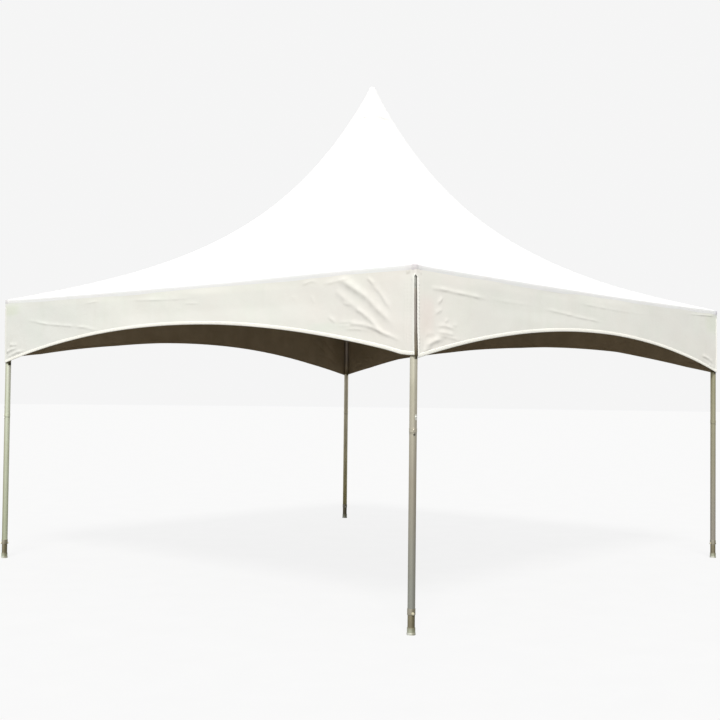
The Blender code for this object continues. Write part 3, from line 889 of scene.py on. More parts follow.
# Near end of the left-hand face in the photograph: a deep fan of folds
DEEP_FAN = [
    Crest([
        (0.74, 2.352), (0.64, 2.345), (0.565, 2.311), (0.495, 2.274), (0.414, 2.226), (0.330, 2.150),
        (0.263, 2.096), (0.150, 2.003),
    ], 0.0068, (0.034, 0.021), lean=0.12, fade=0.22),
    Crest([
        (0.71, 2.285), (0.678, 2.270), (0.575, 2.198), (0.475, 2.132), (0.385, 2.074), (0.313, 2.016),
        (0.209, 1.953),
    ], 0.0042, (0.027, 0.017), lean=0.1, fade=0.30),
    Crest([
        (0.58, 2.050), (0.546, 2.049), (0.473, 2.041), (0.393, 2.025), (0.322, 2.002), (0.261, 1.975),
        (0.174, 1.945), (0.085, 1.902),
    ], 0.0046, (0.018, 0.011), lean=0.2, fade=0.25),
    Crest([(0.43, 2.356), (0.395, 2.342), (0.372, 2.322), (0.345, 2.300)], 0.0030, (0.014, 0.011), fade=0.35),
    Crest([(0.41, 2.328), (0.318, 2.265), (0.247, 2.182), (0.20, 2.125)], 0.0024, (0.020, 0.014), fade=0.35),
    Crest([(0.85, 2.345), (0.77, 2.340), (0.70, 2.349), (0.60, 2.363), (0.54, 2.370)],
          0.0020, (0.016, 0.015), fade=0.35),
    Crest([(1.05, 2.332), (0.985, 2.352), (0.927, 2.362), (0.849, 2.340)], 0.0020, (0.014, 0.013), fade=0.35),
    Crest([(1.122, 2.285), (1.091, 2.212)], 0.0012, (0.010, 0.010), fade=0.4),
    Crest([(0.945, 2.276), (0.904, 2.196)], 0.0012, (0.010, 0.010), fade=0.4),
    Crest([(0.78, 2.112), (0.69, 2.055)], 0.0024, (0.014, 0.012), fade=0.4),
    Crest([(0.63, 2.192), (0.57, 2.178)], 0.0022, (0.012, 0.012)),
    Crest([(0.51, 2.142), (0.43, 2.111)], 0.0020, (0.013, 0.012)),
    Crest([(0.72, 2.066), (0.61, 2.060), (0.50, 2.062)], 0.0016, (0.012, 0.011), fade=0.5),
    Crest([(0.71, 2.040), (0.60, 2.034), (0.49, 2.038)], 0.0014, (0.011, 0.011), fade=0.5),
    Crest([(0.66, 2.012), (0.563, 2.012), (0.46, 2.006), (0.34, 1.982)], 0.0022, (0.012, 0.011), fade=0.45),
    Crest([(0.082, 2.350), (0.083, 2.10), (0.085, 1.90)], 0.0011, (0.0052, 0.0052), lean=0.0, fade=0.1),
    Crest([(0.060, 2.350), (0.061, 2.10), (0.063, 1.88)], 0.0011, (0.0048, 0.0048), lean=0.0, fade=0.1),
    Crest([(0.030, 2.350), (0.031, 2.10), (0.032, 1.87)], 0.0014, (0.0050, 0.0050), lean=0.0, fade=0.1),
    Crest([(0.075, 2.362), (0.045, 2.385), (0.018, 2.400)], 0.0040, (0.008, 0.007), fade=0.2),
]

# Near end of the right-hand face: one long crease and short puckers
CREASED = [
    Crest([
        (0.17, 2.280), (0.208, 2.278), (0.32, 2.277), (0.421, 2.271), (0.526, 2.266), (0.646, 2.261),
        (0.742, 2.255), (0.92, 2.248),
    ], 0.0036, (0.0115, 0.012), fade=0.25),
    Crest([(0.80, 2.262), (1.16, 2.248), (1.55, 2.250)], 0.0013, (0.012, 0.012), fade=0.4),
    Crest([(0.234, 2.173), (0.287, 2.204), (0.309, 2.232)], 0.0026, (0.014, 0.013), fade=0.4),
    Crest([(0.205, 2.106), (0.272, 2.130), (0.311, 2.138)], 0.0030, (0.015, 0.013), fade=0.4),
    Crest([(0.32, 2.060), (0.38, 2.077)], 0.0018, (0.012, 0.012), fade=0.4),
    Crest([(0.40, 2.043), (0.49, 2.044)], 0.0018, (0.012, 0.012), fade=0.4),
    Crest([(0.190, 2.022), (0.304, 2.032), (0.396, 2.024), (0.47, 2.008)], 0.0030, (0.014, 0.011), fade=0.35),
    Crest([(0.225, 1.990), (0.310, 1.986), (0.400, 1.980), (0.46, 1.975)], 0.0040, (0.015, 0.012), fade=0.35),
    Crest([(0.235, 1.970), (0.330, 1.962), (0.413, 1.954), (0.54, 1.938)], 0.0032, (0.013, 0.010), fade=0.35),
    Crest([(0.095, 1.880), (0.150, 1.902), (0.225, 1.930), (0.350, 1.948)],
          0.0070, (0.025, 0.017), lean=0.2, fade=0.35),
    Crest([(0.085, 1.850), (0.186, 1.884)], 0.0034, (0.014, 0.012), fade=0.35),
    Crest([(0.10, 1.960), (0.17, 1.972), (0.24, 1.968)], 0.0022, (0.018, 0.015), fade=0.4),
    Crest([(0.028, 2.345), (0.030, 2.10), (0.040, 1.87)], 0.0016, (0.0055, 0.0055), lean=0.0, fade=0.1),
    Crest([(0.005, 2.404), (0.035, 2.385), (0.070, 2.358)], 0.0040, (0.009, 0.008), fade=0.2),
]

# Far end of the left-hand face: pull lines toward the hem's corner
HEM_FAN = [
    Crest([(0.09, 1.984), (0.23, 1.986)], 0.0050, (0.014, 0.013)),
    Crest([(0.04, 1.914), (0.12, 1.938), (0.22, 1.958)], 0.0060, (0.015, 0.013)),
    Crest([(0.04, 1.868), (0.18, 1.905), (0.22, 1.916), (0.37, 1.932)], 0.0055, (0.013, 0.012)),
    Crest([
        (0.30, 2.220), (0.50, 2.192), (0.67, 2.166), (0.93, 2.144), (1.20, 2.122), (1.37, 2.096),
        (1.50, 2.068),
    ], 0.0036, (0.012, 0.011), fade=0.3),
    Crest([(1.25, 2.316), (1.363, 2.330), (1.476, 2.334)], 0.0016, (0.010, 0.010), fade=0.35),
    Crest([(1.86, 2.326), (2.15, 2.313), (2.40, 2.306), (2.76, 2.304)], 0.0024, (0.012, 0.012), fade=0.35),
    Crest([(2.57, 2.266), (2.76, 2.258)], 0.0018, (0.010, 0.010), fade=0.35),
    Crest([(0.01, 2.392), (0.17, 2.384)], 0.0022, (0.010, 0.010)),
]

# Far end of the right-hand face: a small fold at the eave and long faint creases
LEVEL_CREASES = [
    Crest([(0.0, 2.372), (0.20, 2.368), (0.41, 2.362), (0.73, 2.352)], 0.0042, (0.010, 0.010), fade=0.3),
    Crest([(3.33, 2.234), (3.15, 2.226), (2.94, 2.213), (2.72, 2.198), (2.52, 2.190), (2.22, 2.170)],
          0.0026, (0.011, 0.011), fade=0.3),
    Crest([(2.78, 2.314), (2.52, 2.307), (2.18, 2.298), (1.67, 2.296), (1.10, 2.315)],
          0.0020, (0.012, 0.012), fade=0.35),
    Crest([(0.10, 1.905), (0.24, 1.950), (0.40, 1.975)], 0.0050, (0.014, 0.012)),
    Crest([(0.08, 1.860), (0.22, 1.890)], 0.0040, (0.012, 0.011)),
]

# (folds at the low end, folds at the high end) of each side, in its own direction
END_FOLDS = {
    "front": (CREASED, LEVEL_CREASES),
    "right": (HEM_FAN, CREASED),
    "back": (DEEP_FAN, HEM_FAN),
    "left": (HEM_FAN, DEEP_FAN),
}

# Soft painted light and shade, some with a colour tint: (side, distance from the low end, height, half width,
# half height, tint)
PAINTED_CASTS = (
    ("front", 0.12, 2.09, 0.085, 0.135, (1.02, 0.975, 0.975)),
    ("front", 0.0, 2.10, 0.75, 0.60, (1.065, 1.045, 1.045)),
    ("front", 4.88, 2.10, 1.70, 0.60, (0.955, 0.955, 0.96)),
    ("front", 4.75, 2.30, 0.16, 0.10, (0.955, 0.985, 0.93)),
    ("front", 4.60, 2.02, 1.10, 0.16, (1.0, 0.99, 0.985)),
    ("front", 1.60, 2.365, 1.80, 0.040, (1.035, 1.03, 1.03)),
    ("front", 1.75, 2.165, 0.80, 0.035, (1.035, 1.035, 1.04)),
    ("front", 0.0, 2.375, 0.016, 0.030, (0.87, 0.86, 0.87)),
    ("front", 0.038, 2.385, 0.022, 0.018, (0.95, 0.935, 0.94)),
    ("front", 4.83, 2.392, 0.060, 0.022, (0.87, 0.87, 0.91)),
    ("left", 4.10, 2.03, 0.18, 0.035, (0.965, 1.0, 0.985)),
    ("left", 4.88, 2.10, 1.00, 0.60, (1.005, 0.982, 0.985)),
    ("left", 0.0, 2.10, 1.40, 0.60, (0.945, 0.955, 0.965)),
    ("left", 0.10, 2.31, 0.14, 0.05, (0.965, 0.985, 0.92)),
    ("left", 2.40, 2.365, 2.50, 0.042, (1.035, 1.035, 1.025)),
    ("left", 2.73, 2.150, 1.30, 0.055, (1.045, 1.045, 1.05)),
    ("left", 4.88, 2.375, 0.016, 0.030, (0.87, 0.86, 0.87)),
    ("left", 4.820, 2.373, 0.018, 0.013, (0.90, 0.895, 0.88)),
    ("left", 4.42, 1.925, 0.33, 0.045, (1.02, 1.03, 1.03)),
)


def valance_columns():
    """Shares from -1 to 1 along a valance, finer toward both ends."""
    low = [-1.0]
    for reach, step in ((FINE_END, FINE_STEP), (DENSE_END, DENSE_STEP), (HALF, COARSE_STEP)):
        stop = reach / HALF - 1
        count = int(round((stop - low[-1]) * HALF / step))
        low += list(np.linspace(low[-1], stop, count + 1)[1:])
    return np.concatenate([low, -np.array(low[:-1])[::-1]])


def valance_rows():
    """Shares from the hem to the top, with rows gathered at the slit's top."""
    top = VALANCE_TOP_Z + TOP_RISE
    slit = (top - SLIT_TOP_Z) / (top - VALANCE_CORNER_Z)
    near = slit + np.array([-0.022, -0.014, -0.007, 0.0, 0.007, 0.014, 0.024, 0.036, 0.05])
    above = np.linspace(0, near[0], 6)[:-1]
    below = np.linspace(near[-1], 1, VALANCE_ROWS - len(near) - len(above) + 1)[1:]
    return 1 - np.concatenate([above, near, below])[::-1]


def half_length(height, end):
    """Length of cloth from mid span to a valance's end at a height."""
    top, bottom, foot_z = end
    round_corner = HALF - CORNER_R + CORNER_R * math.pi / 4
    depth = np.clip((SLIT_TOP_Z - height) / (SLIT_TOP_Z - foot_z), 0, 1)
    open_edge = HALF - (top + (bottom - top) * depth ** 1.8)
    opened = smoothstep(0.001 - SLIT_ROUND, 0.001 + SLIT_ROUND, SLIT_TOP_Z - height)
    return round_corner + (open_edge - round_corner) * opened


def valance_grid(side):
    """Outer points, cloth coordinates and tint of one valance, in its own direction; the tint holds painted
    light and shade.
    """
    share = valance_columns()[None, :]
    up = valance_rows()[:, None]
    low_end, high_end = SLIT_ENDS[side]
    lean = (share + 1) / 2
    corner_z = low_end[2] * (1 - lean) + high_end[2] * lean
    hem = CROWN_Z[side] - (CROWN_Z[side] - corner_z) * share ** 2
    hem += np.interp(HALF * (1 + share), *zip(*HEM_TRIM[side]))
    top = VALANCE_TOP_Z + eave_rise(side, HALF * (1 + share))
    z = hem + (top - hem) * up
    reach = np.where(share < 0, half_length(z, low_end), half_length(z, high_end))
    along = share * reach
    from_low = HALF + along
    out = np.zeros_like(z)
    for folds, distance in zip(END_FOLDS[side], (from_low, HALF - along)):
        for crest in folds:
            out += crest.height(distance, z)
    seed = 1.0 + 1.9 * dict(SIDES)[side]
    out += LONG_WAVE * np.sin(3.1 * along + seed) * np.sin(5.2 * z + 2.1 * seed + 0.9 * along)
    out += SHORT_WAVE * np.sin(9.7 * along + 2.7 * seed + 6.0 * z) * np.sin(13.0 * z + seed)
    out *= smoothstep(0.0, WAVE_START, top - z)
    curl = 1 - smoothstep(0.0, 0.05, SLIT_TOP_Z - z)
    past = np.clip(np.abs(along) - (HALF - CORNER_R), 0, None)
    turn = past / CORNER_R
    x = np.minimum(np.abs(along), HALF - CORNER_R) + curl * CORNER_R * np.sin(turn) + (1 - curl) * past
    inward = curl * CORNER_R * (1 - np.cos(turn))
    flat = np.stack([np.sign(along) * x, -HALF - out + inward, z], axis=2)
    turned = flat @ np.array(turn_side(dict(SIDES)[side]))[:3, :3].T
    uv = np.stack([along, z], axis=2)
    tint = np.ones((*z.shape, 3))
    # Painted light and shade from the soft casts
    for name, place, height, wide, tall, colour in PAINTED_CASTS:
        if name == side:
            mask = np.exp(-((from_low - place) / wide) ** 4 - ((z - height) / tall) ** 4)
            tint *= 1 + mask[..., None] * (np.array(colour) - 1)
    return turned, uv, tint


def add_valance(side, outer, dark_inner, tapes):
    points, uv, tint = valance_grid(side)
    name = "valance_cloth_" + side
    piece = sheet_piece(name, points, VALANCE_THICK, False, uv, (outer, dark_inner), tint=tint)
    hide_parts("valance_" + side)
    tape = add_tape(side, points, tapes)
    return piece


def add_tape(side, points, materials):
    """Binding folded over the hem and up both slit edges, in one run."""
    normals = grid_normals(points, False)
    heights = points[:, 0, 2]
    slit_rows = [i for i in range(len(points)) if heights[i] <= SLIT_TOP_Z + 0.004]
    path = [(i, 0) for i in reversed(slit_rows)]
    corner_low = len(path) - 1
    path += [(0, j) for j in range(1, points.shape[1])]
    corner_high = len(path) - 1
    path += [(i, -1) for i in slit_rows[1:]]
    line = np.array([points[i, j] for i, j in path])
    outward = np.array([normals[i, j] for i, j in path])
    ahead = np.gradient(line, axis=0)
    ahead[corner_low] = 0
    ahead[corner_high] = 0
    for at in (corner_low, corner_high):
        before = line[at] - line[at - 1]
        after = line[at + 1] - line[at]
        ahead[at] = before / np.linalg.norm(before) + after / np.linalg.norm(after)
    ahead /= np.linalg.norm(ahead, axis=1, keepdims=True)
    inward = np.cross(outward, ahead)
    inward /= np.linalg.norm(inward, axis=1, keepdims=True)
    index = np.arange(len(path))
    hem = smoothstep(corner_low - 3, corner_low + 1, index)
    hem *= 1 - smoothstep(corner_high - 1, corner_high + 3, index)
    taper = smoothstep(0, TAPE_TAPER, index) * smoothstep(0, TAPE_TAPER, len(path) - 1 - index)
    width = (TAPE_SLIT_WIDTH + (TAPE_WIDTH - TAPE_SLIT_WIDTH) * hem) * (0.3 + 0.7 * taper)
    edge_proud = 0.8 if side == "front" else 0.35
    proud = (edge_proud + (1 - edge_proud) * hem) * (0.12 + 0.88 * taper)
    mitre = np.ones(len(path))
    for at in (corner_low, corner_high):
        mitre[at] = TAPE_MITRE
    front, back = TAPE_PROUD, -VALANCE_THICK - TAPE_PROUD * 0.6
    section = [
        (1.0, 0.0003), (0.97, front * 0.75), (0.75, front * 1.0), (0.40, front * 1.35), (0.10, front * 1.25),
        (-0.06, front * 0.6), (-0.11, -VALANCE_THICK / 2), (-0.06, back * 0.9), (0.10, back * 1.1),
        (0.50, back), (0.97, back * 0.85), (1.0, -VALANCE_THICK - 0.0003),
    ]
    rings = []
    for across, lift in section:
        lifts = lift * proud if lift > 0 else np.full(len(path), lift)
        rings.append(line + inward * (width * mitre * across)[:, None] + outward * lifts[:, None])
    rings = np.array(rings).transpose(1, 0, 2)
    distance = np.concatenate([[0], np.cumsum(np.linalg.norm(np.diff(line, axis=0), axis=1))])
    inner = [lift < -VALANCE_THICK / 2 for _, lift in section]
    across = [share * TAPE_WIDTH for share, _ in section]
    plain = [i < corner_low or i > corner_high for i in range(len(path))]
    return tube_piece("hem_tape_" + side, rings, distance, across, inner, plain, materials)


def tube_piece(name, rings, distance, across, inner, plain, materials):
    """A closed tube through (stations, section, 3) points, with flat ends.

    Faces whose section points are inner ones take the second material, and
    the other faces at plain stations take the third.
    """
    stations, around = rings.shape[:2]
    shape = bmesh.new()
    verts = [[shape.verts.new(point) for point in ring] for ring in rings]
    layer = shape.loops.layers.uv.new("UVMap")
    for i in range(stations - 1):
        for j in range(around):
            k = (j + 1) % around
            made = shape.faces.new([verts[i][j], verts[i + 1][j], verts[i + 1][k], verts[i][k]])
            made.smooth = True
            made.material_index = 1 if inner[j] and inner[k] else 2 if plain[i] else 0
            places = [(i, j), (i + 1, j), (i + 1, k), (i, k)]
            for loop, (a, b) in zip(made.loops, places):
                loop[layer].uv = (distance[a], across[b])
    shape.faces.new(verts[0])
    shape.faces.new(verts[-1][::-1])
    bmesh.ops.recalc_face_normals(shape, faces=shape.faces)
    return show(name, to_mesh(name, shape, materials))


# Hardware of the frame

class Parts:
    """Small solids gathered into one mesh, each with its own material slot."""

    def __init__(self):
        self.shape = bmesh.new()

    def vertex(self, place, radius, turn, height):
        point = Vector((radius * math.cos(turn), radius * math.sin(turn), height))
        return self.shape.verts.new(place @ point)

    def face(self, corners, slot):
        made = self.shape.faces.new(corners)
        made.smooth = True
        made.material_index = slot

    def turned(self, outline, place, slot=0, steps=20, closed=False):
        """An outline of (radius, height) points turned about a place's Z axis.

        An open outline starts and ends on the axis, and a closed one is a ring.
        """
        rings = []
        for radius, height in outline:
            turns = [2 * math.pi * step / steps for step in range(steps if radius else 1)]
            rings.append([self.vertex(place, radius, turn, height) for turn in turns])
        for low, high in zip(rings, rings[1:] + rings[:1] if closed else rings[1:]):
            for i in range(steps):
                j = (i + 1) % steps
                corners = (low[i % len(low)], low[j % len(low)], high[j % len(high)], high[i % len(high)])
                self.face(list(dict.fromkeys(corners)), slot)

    def bar(self, radius, length, place, slot=0, steps=20, chamfer=0.001):
        """A round bar from a place up its Z axis, with chamfered ends."""
        self.turned((
            (0, 0), (radius - chamfer, 0), (radius, chamfer), (radius, length - chamfer),
            (radius - chamfer, length), (0, length),
        ), place, slot, steps)

    def block(self, size, place, slot=0, round_end=False):
        """A flat plate from a place out along its X axis; one end may be round."""
        length, width, thick = size
        flat = [(0.0, -width / 2), (length, -width / 2), (length, width / 2), (0.0, width / 2)]
        if round_end:
            turns = [math.pi / 2 + math.pi * step / 8 for step in range(9)]
            flat = flat[1:3] + [(width / 2 + width / 2 * math.cos(t), width / 2 * math.sin(t)) for t in turns]
        low, high = (
            [self.shape.verts.new(place @ Vector((x, y, z))) for x, y in flat]
            for z in (-thick / 2, thick / 2)
        )
        self.face(low[::-1], slot)
        self.face(high, slot)
        for i in range(len(flat)):
            j = (i + 1) % len(flat)
            self.face((low[i], low[j], high[j], high[i]), slot)

    def rope(self, start, length, place, slot):
        """Six strands laid round each other, as one lobed bar that twists."""
        stations = int(length / ROPE_STEP)
        rings = []
        for step in range(stations + 1):
            along = start + length * step / stations
            ring = []
            for i in range(ROPE_AROUND):
                angle = 2 * math.pi * i / ROPE_AROUND
                radius = ROPE_R * (0.84 + 0.16 * abs(math.cos(3 * angle)))
                turn = angle + 2 * math.pi * along / ROPE_LAY
                ring.append(self.vertex(place, radius, turn, along))
            rings.append(ring)
        for low, high in zip(rings, rings[1:]):
            for i in range(ROPE_AROUND):
                j = (i + 1) % ROPE_AROUND
                self.face((low[i], low[j], high[j], high[i]), slot)
        self.shape.faces.new(rings[0][::-1]).material_index = slot
        self.shape.faces.new(rings[-1]).material_index = slot

    def finish(self, name, materials):
        bmesh.ops.recalc_face_normals(self.shape, faces=self.shape.faces)
        mesh = to_mesh(name, self.shape, materials)
        mesh.set_sharp_from_angle(angle=math.radians(SHARP_ANGLE))
        return show(name, mesh)


def raised(height):
    """A place at a height on the same axis."""
    return Matrix.Translation((0, 0, height))


def pointing(at, direction):
    """A place whose Z axis points along a direction."""
    return Matrix.Translation(at) @ Vector(direction).to_track_quat("Z", "Y").to_matrix().to_4x4()


def dome(radius, proud, sunk=0.003):
    """Outline of a rounded button that stands out of a surface."""
    return (
        (0, proud), (0.45 * radius, proud * 0.94), (0.80 * radius, proud * 0.70), (radius, proud * 0.25),
        (radius, -sunk), (0, -sunk),
    )


def add_bolt(parts, at, direction, slot):
    """A six-sided bolt head on a washer."""
    place = pointing(at, direction)
    parts.bar(WASHER_R, WASHER_THICK, place, slot, chamfer=0.0004)
    top = WASHER_THICK + BOLT_HEAD_HIGH
    head = (
        (0, top), (BOLT_HEAD_R * 0.86, top), (BOLT_HEAD_R, top - 0.0012), (BOLT_HEAD_R, WASHER_THICK),
        (0, WASHER_THICK),
    )
    parts.turned(head, place, slot, steps=6)
    crown = dome(BOLT_HEAD_R * 0.42, 0.0010, 0.0004)
    parts.turned(crown, place @ raised(top), slot, steps=16)


def add_leg_hardware(corner, number, materials):
    """Joint band with its rivet and drain hole, spring clip, and foot bolts.

    The materials are for plated parts, painted shade of holes, the band, the clip and bolts.
    """
    axis = Matrix.Translation((-AXIS, -AXIS, 0))
    outward = Vector((-1, -1, 0)).normalized()
    hole_way = Vector((-0.52, -0.86, 0)).normalized()
    clip_way = Vector((-0.18, -1, 0)).normalized()
    bolt_way = Vector((-0.48, -0.87, 0)).normalized()
    parts = Parts()
    proud = TUBE_R + JOINT_BAND_PROUD
    soft = 0.0012
    band = (
        (TUBE_R - 0.0006, JOINT_BAND_LOW), (proud - soft, JOINT_BAND_LOW), (proud, JOINT_BAND_LOW + soft),
        (proud - 0.0006, LEG_JOINT_Z + 0.002), (proud - 0.0006, LEG_JOINT_Z + 0.005),
        (proud, JOINT_BAND_HIGH - soft), (proud - soft, JOINT_BAND_HIGH), (TUBE_R - 0.0006, JOINT_BAND_HIGH),
    )
    parts.turned(band, axis, 2, steps=40, closed=True)
    rivet = pointing(outward * proud + UP * (LEG_JOINT_Z + 0.003), outward)
    parts.turned(dome(JOINT_RIVET_R, 0.0018), axis @ rivet, 2)
    hole = pointing(hole_way * (TUBE_R - 0.0008) + UP * JOINT_HOLE_Z, hole_way)
    rim = (
        (JOINT_HOLE_R, 0), (JOINT_HOLE_R + 0.0014, 0), (JOINT_HOLE_R + 0.001, 0.0020), (JOINT_HOLE_R, 0.0018),
    )
    parts.turned(rim, axis @ hole, 0, closed=True)
    # Painted shade: a dark dome stands in for the shade inside the drain hole
    parts.turned(dome(JOINT_HOLE_R, 0.0012, 0.002), axis @ hole, 1)
    clip = pointing(clip_way * TUBE_R + UP * CLIP_Z, clip_way)
    parts.turned(dome(CLIP_R, CLIP_PROUD), axis @ clip, 3)
    tongue = Matrix.Translation(clip_way * (TUBE_R + 0.0008) + UP * CLIP_TONGUE_Z)
    upright = Matrix((UP, clip_way.cross(UP), -clip_way)).transposed().to_4x4()
    parts.block(CLIP_TONGUE, axis @ tongue @ upright, 3, round_end=True)
    for direction in (bolt_way, -bolt_way):
        at = direction * (FOOT_BAND_R - 0.0002) + UP * FOOT_BOLT_Z
        add_bolt(parts, axis @ at, direction, 4)
    inward = -outward
    top = UP * (BEAM_Z - FITTING_ARM - BUTTON_FROM_END)
    parts.turned(dome(BUTTON_R, BUTTON_PROUD), axis @ pointing(top + inward * TUBE_R, inward), 0)
    parts.shape.transform(turn_side(number))
    return parts.finish("leg_hardware_" + corner, materials)


def add_frame_buttons(plated):
    """Spring buttons where the beams and the mast lock onto their inserts."""
    parts = Parts()
    direction = Vector((0, 1, -1)).normalized()
    for _, number in SIDES:
        for place in (
            -AXIS + FITTING_ARM + BUTTON_FROM_END, AXIS - FITTING_ARM - BUTTON_FROM_END,
            -SPLICE_HALF - BUTTON_FROM_END, SPLICE_HALF + BUTTON_FROM_END,
        ):
            at = Vector((place, -AXIS, BEAM_Z)) + direction * TUBE_R
            parts.turned(dome(BUTTON_R, BUTTON_PROUD), turn_side(number) @ pointing(at, direction), 0)
    for height in (HUB_TOP_Z + BUTTON_FROM_END, MAST_TOP_Z - BUTTON_FROM_END):
        for way in (1, -1):
            at = Vector((0, -way * TUBE_R, height))
            parts.turned(dome(BUTTON_R, BUTTON_PROUD), pointing(at, (0, -way, 0)), 0)
    return parts.finish("frame_buttons", (plated,))


def add_fork(parts, place, slot):
    """A fork over a lug with its pin. The place's Z runs from the lug's end away."""
    for way in (1, -1):
        shift = Matrix.Translation((way * (LUG_THICK + FORK_PLATE) / 2, 0, -FORK_OVERLAP))
        stand = Matrix(((0, 0, 1, 0), (0, 1, 0, 0), (1, 0, 0, 0), (0, 0, 0, 1)))
        plate = (FORK_OVERLAP + 0.010, FORK_WIDTH, FORK_PLATE)
        parts.block(plate, place @ shift @ stand, slot, round_end=True)
    half = LUG_THICK / 2 + FORK_PLATE + 0.003
    pin = place @ Matrix.Translation((-half, 0, -FORK_OVERLAP + FORK_WIDTH / 2))
    pin = pin @ Matrix.Rotation(math.pi / 2, 4, "Y")
    parts.bar(FORK_PIN_R, 2 * half, pin, slot, chamfer=0.0008)
    parts.bar(FORK_PIN_R * 1.6, 0.0028, pin @ raised(-0.0006), slot, chamfer=0.0006)
    wide = LUG_THICK / 2 + FORK_PLATE
    parts.turned((
        (0, 0.003), (wide, 0.003), (wide, 0.009), (FORK_BARREL_R, 0.013), (FORK_BARREL_R, BARREL_LENGTH),
        (FORK_BARREL_R - 0.0015, BARREL_LENGTH + 0.0015), (0, BARREL_LENGTH + 0.0015),
    ), place, slot)


def add_stay(corner, number, plated, rope):
    """Wire rope with a fork and tensioner at the corner and a fork at the hub."""
    outer = Vector((-AXIS, -AXIS, BEAM_Z))
    inner = Vector((0, 0, HUB_LUG_Z))
    along = (inner - outer).normalized()
    length = (inner - outer).length
    level = Vector((1, -1, 0)).normalized()
    axes = Matrix((level, along.cross(level), along)).transposed().to_4x4()
    place = turn_side(number) @ Matrix.Translation(outer) @ axes
    start = CORNER_LUG_REACH
    end = length - HUB_LUG_REACH
    parts = Parts()
    add_fork(parts, place @ raised(start), 0)
    add_fork(parts, place @ raised(end) @ Matrix.Rotation(math.pi, 4, "X"), 0)
    screw = start + BARREL_LENGTH
    parts.bar(SCREW_R, SCREW_SHOWN + SCREW_SUNK, place @ raised(screw), 0)
    body = screw + SCREW_SHOWN
    half = (
        (0, 0), (TENSIONER_R * 0.8, 0), (TENSIONER_R, 0.003), (TENSIONER_R, 0.018),
        (TENSIONER_R * 0.86, 0.021),
    )
    outline = half + tuple((radius, TENSIONER_LENGTH - height) for radius, height in reversed(half))
    parts.turned(outline, place @ raised(body), 0, steps=6)
    stud = body + TENSIONER_LENGTH - STUD_SUNK
    parts.bar(SCREW_R, STUD_LENGTH, place @ raised(stud), 0)
    first = stud + STUD_SHOWN
    last = end - BARREL_LENGTH - SWAGE_LENGTH + 0.004
    for swage in (first, last):
        parts.bar(SWAGE_R, SWAGE_LENGTH, place @ raised(swage), 0, chamfer=0.0018)
    parts.rope(first + SWAGE_LENGTH - ROPE_SUNK, last - first - SWAGE_LENGTH + 2 * ROPE_SUNK, place, 1)
    piece = parts.finish("stay_rope_" + corner, (plated, rope))
    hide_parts("stay_cable_" + corner)
    return piece


# Stage, light and camera

def add_stage():
    floor_material = Nodes("pale_floor")
    speckle = floor_material.noise(floor_material.coordinates("Object"), 3.0, 4.0)
    dark, pale = ((tone, tone, tone) for tone in FLOOR_TONES)
    shade = floor_material.ramp(speckle, ((0.3, dark), (0.7, pale)))
    seen = floor_material.add("LightPath").outputs["Is Camera Ray"]
    floor_material.set("Base Color", floor_material.mix(seen, FLOOR_LIT, (0.060, 0.060, 0.060)))
    floor_material.set("Roughness", 0.9)
    floor_material.set("Specular IOR Level", 0.0)
    floor_material.set("Emission Color", shade)
    floor_material.set("Emission Strength", seen)
    bpy.ops.mesh.primitive_circle_add(vertices=96, radius=FLOOR_R, fill_type="NGON")
    floor = bpy.context.object
    floor.name = "floor"
    floor.data.materials.append(floor_material.material)


def add_light():
    world = bpy.data.worlds.new("studio")
    bpy.context.scene.world = world
    world.use_nodes = True
    tree = world.node_tree
    background = tree.nodes["Background"]
    background.inputs["Color"].default_value = SKY_COLOUR
    background.inputs["Strength"].default_value = SKY_STRENGTH
    shown = tree.nodes.new("ShaderNodeBackground")
    shown.inputs["Color"].default_value = BACKDROP_COLOUR
    rays = tree.nodes.new("ShaderNodeLightPath")
    choose = tree.nodes.new("ShaderNodeMixShader")
    tree.links.new(rays.outputs["Is Camera Ray"], choose.inputs["Fac"])
    tree.links.new(background.outputs["Background"], choose.inputs[1])
    tree.links.new(shown.outputs["Background"], choose.inputs[2])
    tree.links.new(choose.outputs["Shader"], tree.nodes["World Output"].inputs["Surface"])
    sun = bpy.data.lights.new("key", "SUN")
    sun.energy = SUN_STRENGTH
    sun.angle = math.radians(SUN_SPREAD)
    sun.color = SUN_COLOUR
    lamp = bpy.data.objects.new("key", sun)
    lamp.rotation_euler = Vector(SUN_TOWARD).to_track_quat("Z", "Y").to_euler()
    bpy.context.scene.collection.objects.link(lamp)
    bpy.context.scene.view_settings.view_transform = "Standard"


def add_camera():
    forward = Vector((
        -math.sin(CAMERA_YAW) * math.cos(CAMERA_PITCH), math.cos(CAMERA_YAW) * math.cos(CAMERA_PITCH),
        math.sin(CAMERA_PITCH),
    ))
    level = Vector((math.cos(CAMERA_YAW), math.sin(CAMERA_YAW), 0))
    upright = level.cross(forward)
    right = math.cos(CAMERA_ROLL) * level + math.sin(CAMERA_ROLL) * upright
    up = -math.sin(CAMERA_ROLL) * level + math.cos(CAMERA_ROLL) * upright
    camera = bpy.data.objects.new("camera", bpy.data.cameras.new("camera"))
    turn = Matrix((right, up, -forward)).transposed().to_4x4()
    camera.matrix_world = Matrix.Translation(CAMERA_AT) @ turn
    camera.data.lens = CAMERA_LENS
    camera.data.sensor_width = SENSOR
    camera.data.clip_end = 500
    bpy.context.scene.collection.objects.link(camera)
    bpy.context.scene.camera = camera


def dress(prefix, material):
    """Give a better material to the frame's nodes whose names start alike."""
    for name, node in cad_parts.items():
        if name.startswith(prefix):
            node.data.materials.clear()
            node.data.materials.append(material)


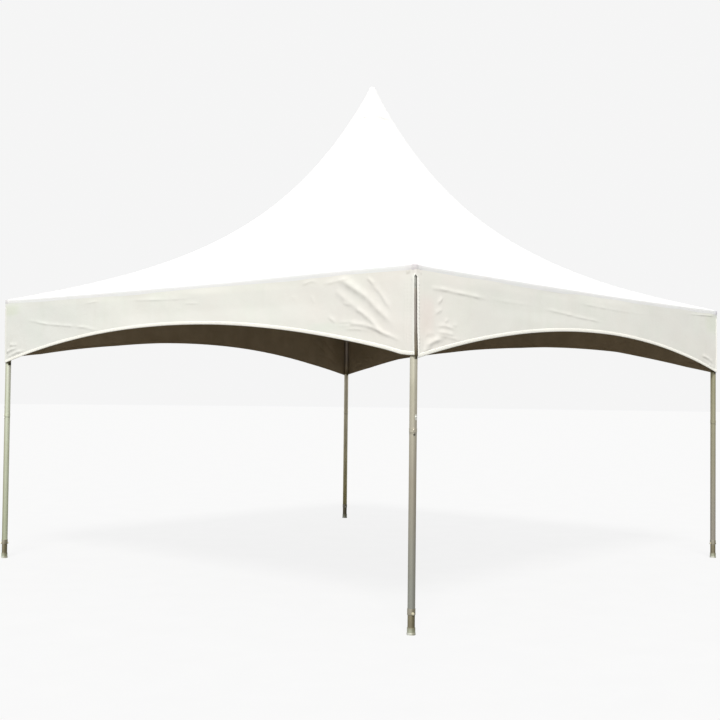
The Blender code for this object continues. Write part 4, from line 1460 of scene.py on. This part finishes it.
def dress_frame():
    """Dress the metal nodes, and return each leg's material."""
    legs = {}
    along_x = tube_metal("tube_metal_x", "X")
    along_y = tube_metal("tube_metal_y", "Y")
    along_z = tube_metal("tube_metal_z", "Z")
    cast = cast_metal("cast_fitting", (0.36, 0.36, 0.33), (0.55, 0.55, 0.51), 0.48)
    for side, number in SIDES:
        dress("eave_beam_" + side, along_x if number % 2 == 0 else along_y)
        dress("eave_splice_" + side, cast)
    for corner, _ in CORNERS:
        legs[corner] = tube_metal("leg_metal_" + corner, "Z", LEG_TONES[corner], LEG_TURNS[corner])
        dress("leg_lower_" + corner, legs[corner])
        dress("leg_upper_" + corner, legs[corner])
    dress("centre_mast", along_z)
    dress("corner_fitting", cast)
    dress("mast_h", cast)
    dress("foot_", foot_metal("foot_casting"))
    return legs


add_camera()
add_light()
add_stage()
LEGS = dress_frame()
ROOF_CLOTH = ((0.88, 0.88, 0.865), (0.80, 0.80, 0.755), 0.42)
ROOF = coated_cloth("roof_vinyl", *ROOF_CLOTH, stitch_lines=(-0.021, -0.025), tinted=True)
CAP = coated_cloth("cap_vinyl", *ROOF_CLOTH, stitch_lines=(0.006, 0.010))
VALANCE_CLOTH = ((0.838, 0.838, 0.785), (0.765, 0.76, 0.69), 0.47)
VALANCE = coated_cloth("valance_vinyl", *VALANCE_CLOTH, tinted=True)
EDGE = coated_cloth("valance_edge_vinyl", *VALANCE_CLOTH)
DARK_INNER = dark_inner_cloth("dark_inner")
TAPE = tape_cloth("binding_tape", (0.93, 0.91, 0.82), (0.98, 0.97, 0.90))
# Tape on the front's slit edges, brighter than the hem's tape; its extra brightness is painted highlight
EDGE_TAPE = tape_cloth("edge_tape", (0.97, 0.955, 0.90), (1.0, 0.99, 0.94))
add_canopy(ROOF, DARK_INNER)
add_peak_cap(CAP, DARK_INNER)
for SIDE_NAME, _ in SIDES:
    # The tape's inner side takes the dark inner cloth, whose darkness under the hem is partly painted shade
    add_valance(SIDE_NAME, VALANCE, DARK_INNER, (TAPE, DARK_INNER, EDGE_TAPE if SIDE_NAME == "front" else EDGE))

PLATED = cast_metal("plated_steel", (0.42, 0.42, 0.40), (0.66, 0.66, 0.63), 0.34)
# Painted shade inside holes
HOLE_SHADE = cast_metal("painted_hole_shade", (0.06, 0.055, 0.04), (0.10, 0.09, 0.065), 0.60, 0.2)
CLIP = cast_metal("pale_clip", (0.62, 0.62, 0.57), (0.74, 0.75, 0.70), 0.46, 0.3)
BOLT = cast_metal("worn_bolt", (0.56, 0.52, 0.38), (0.72, 0.68, 0.52), 0.44, 0.4)
ROPE = cast_metal("rope_steel", (0.34, 0.35, 0.35), (0.58, 0.59, 0.58), 0.42)
for CORNER_NAME, CORNER_NUMBER in CORNERS:
    add_leg_hardware(CORNER_NAME, CORNER_NUMBER, (PLATED, HOLE_SHADE, LEGS[CORNER_NAME], CLIP, BOLT))
    add_stay(CORNER_NAME, CORNER_NUMBER, PLATED, ROPE)
add_frame_buttons(PLATED)
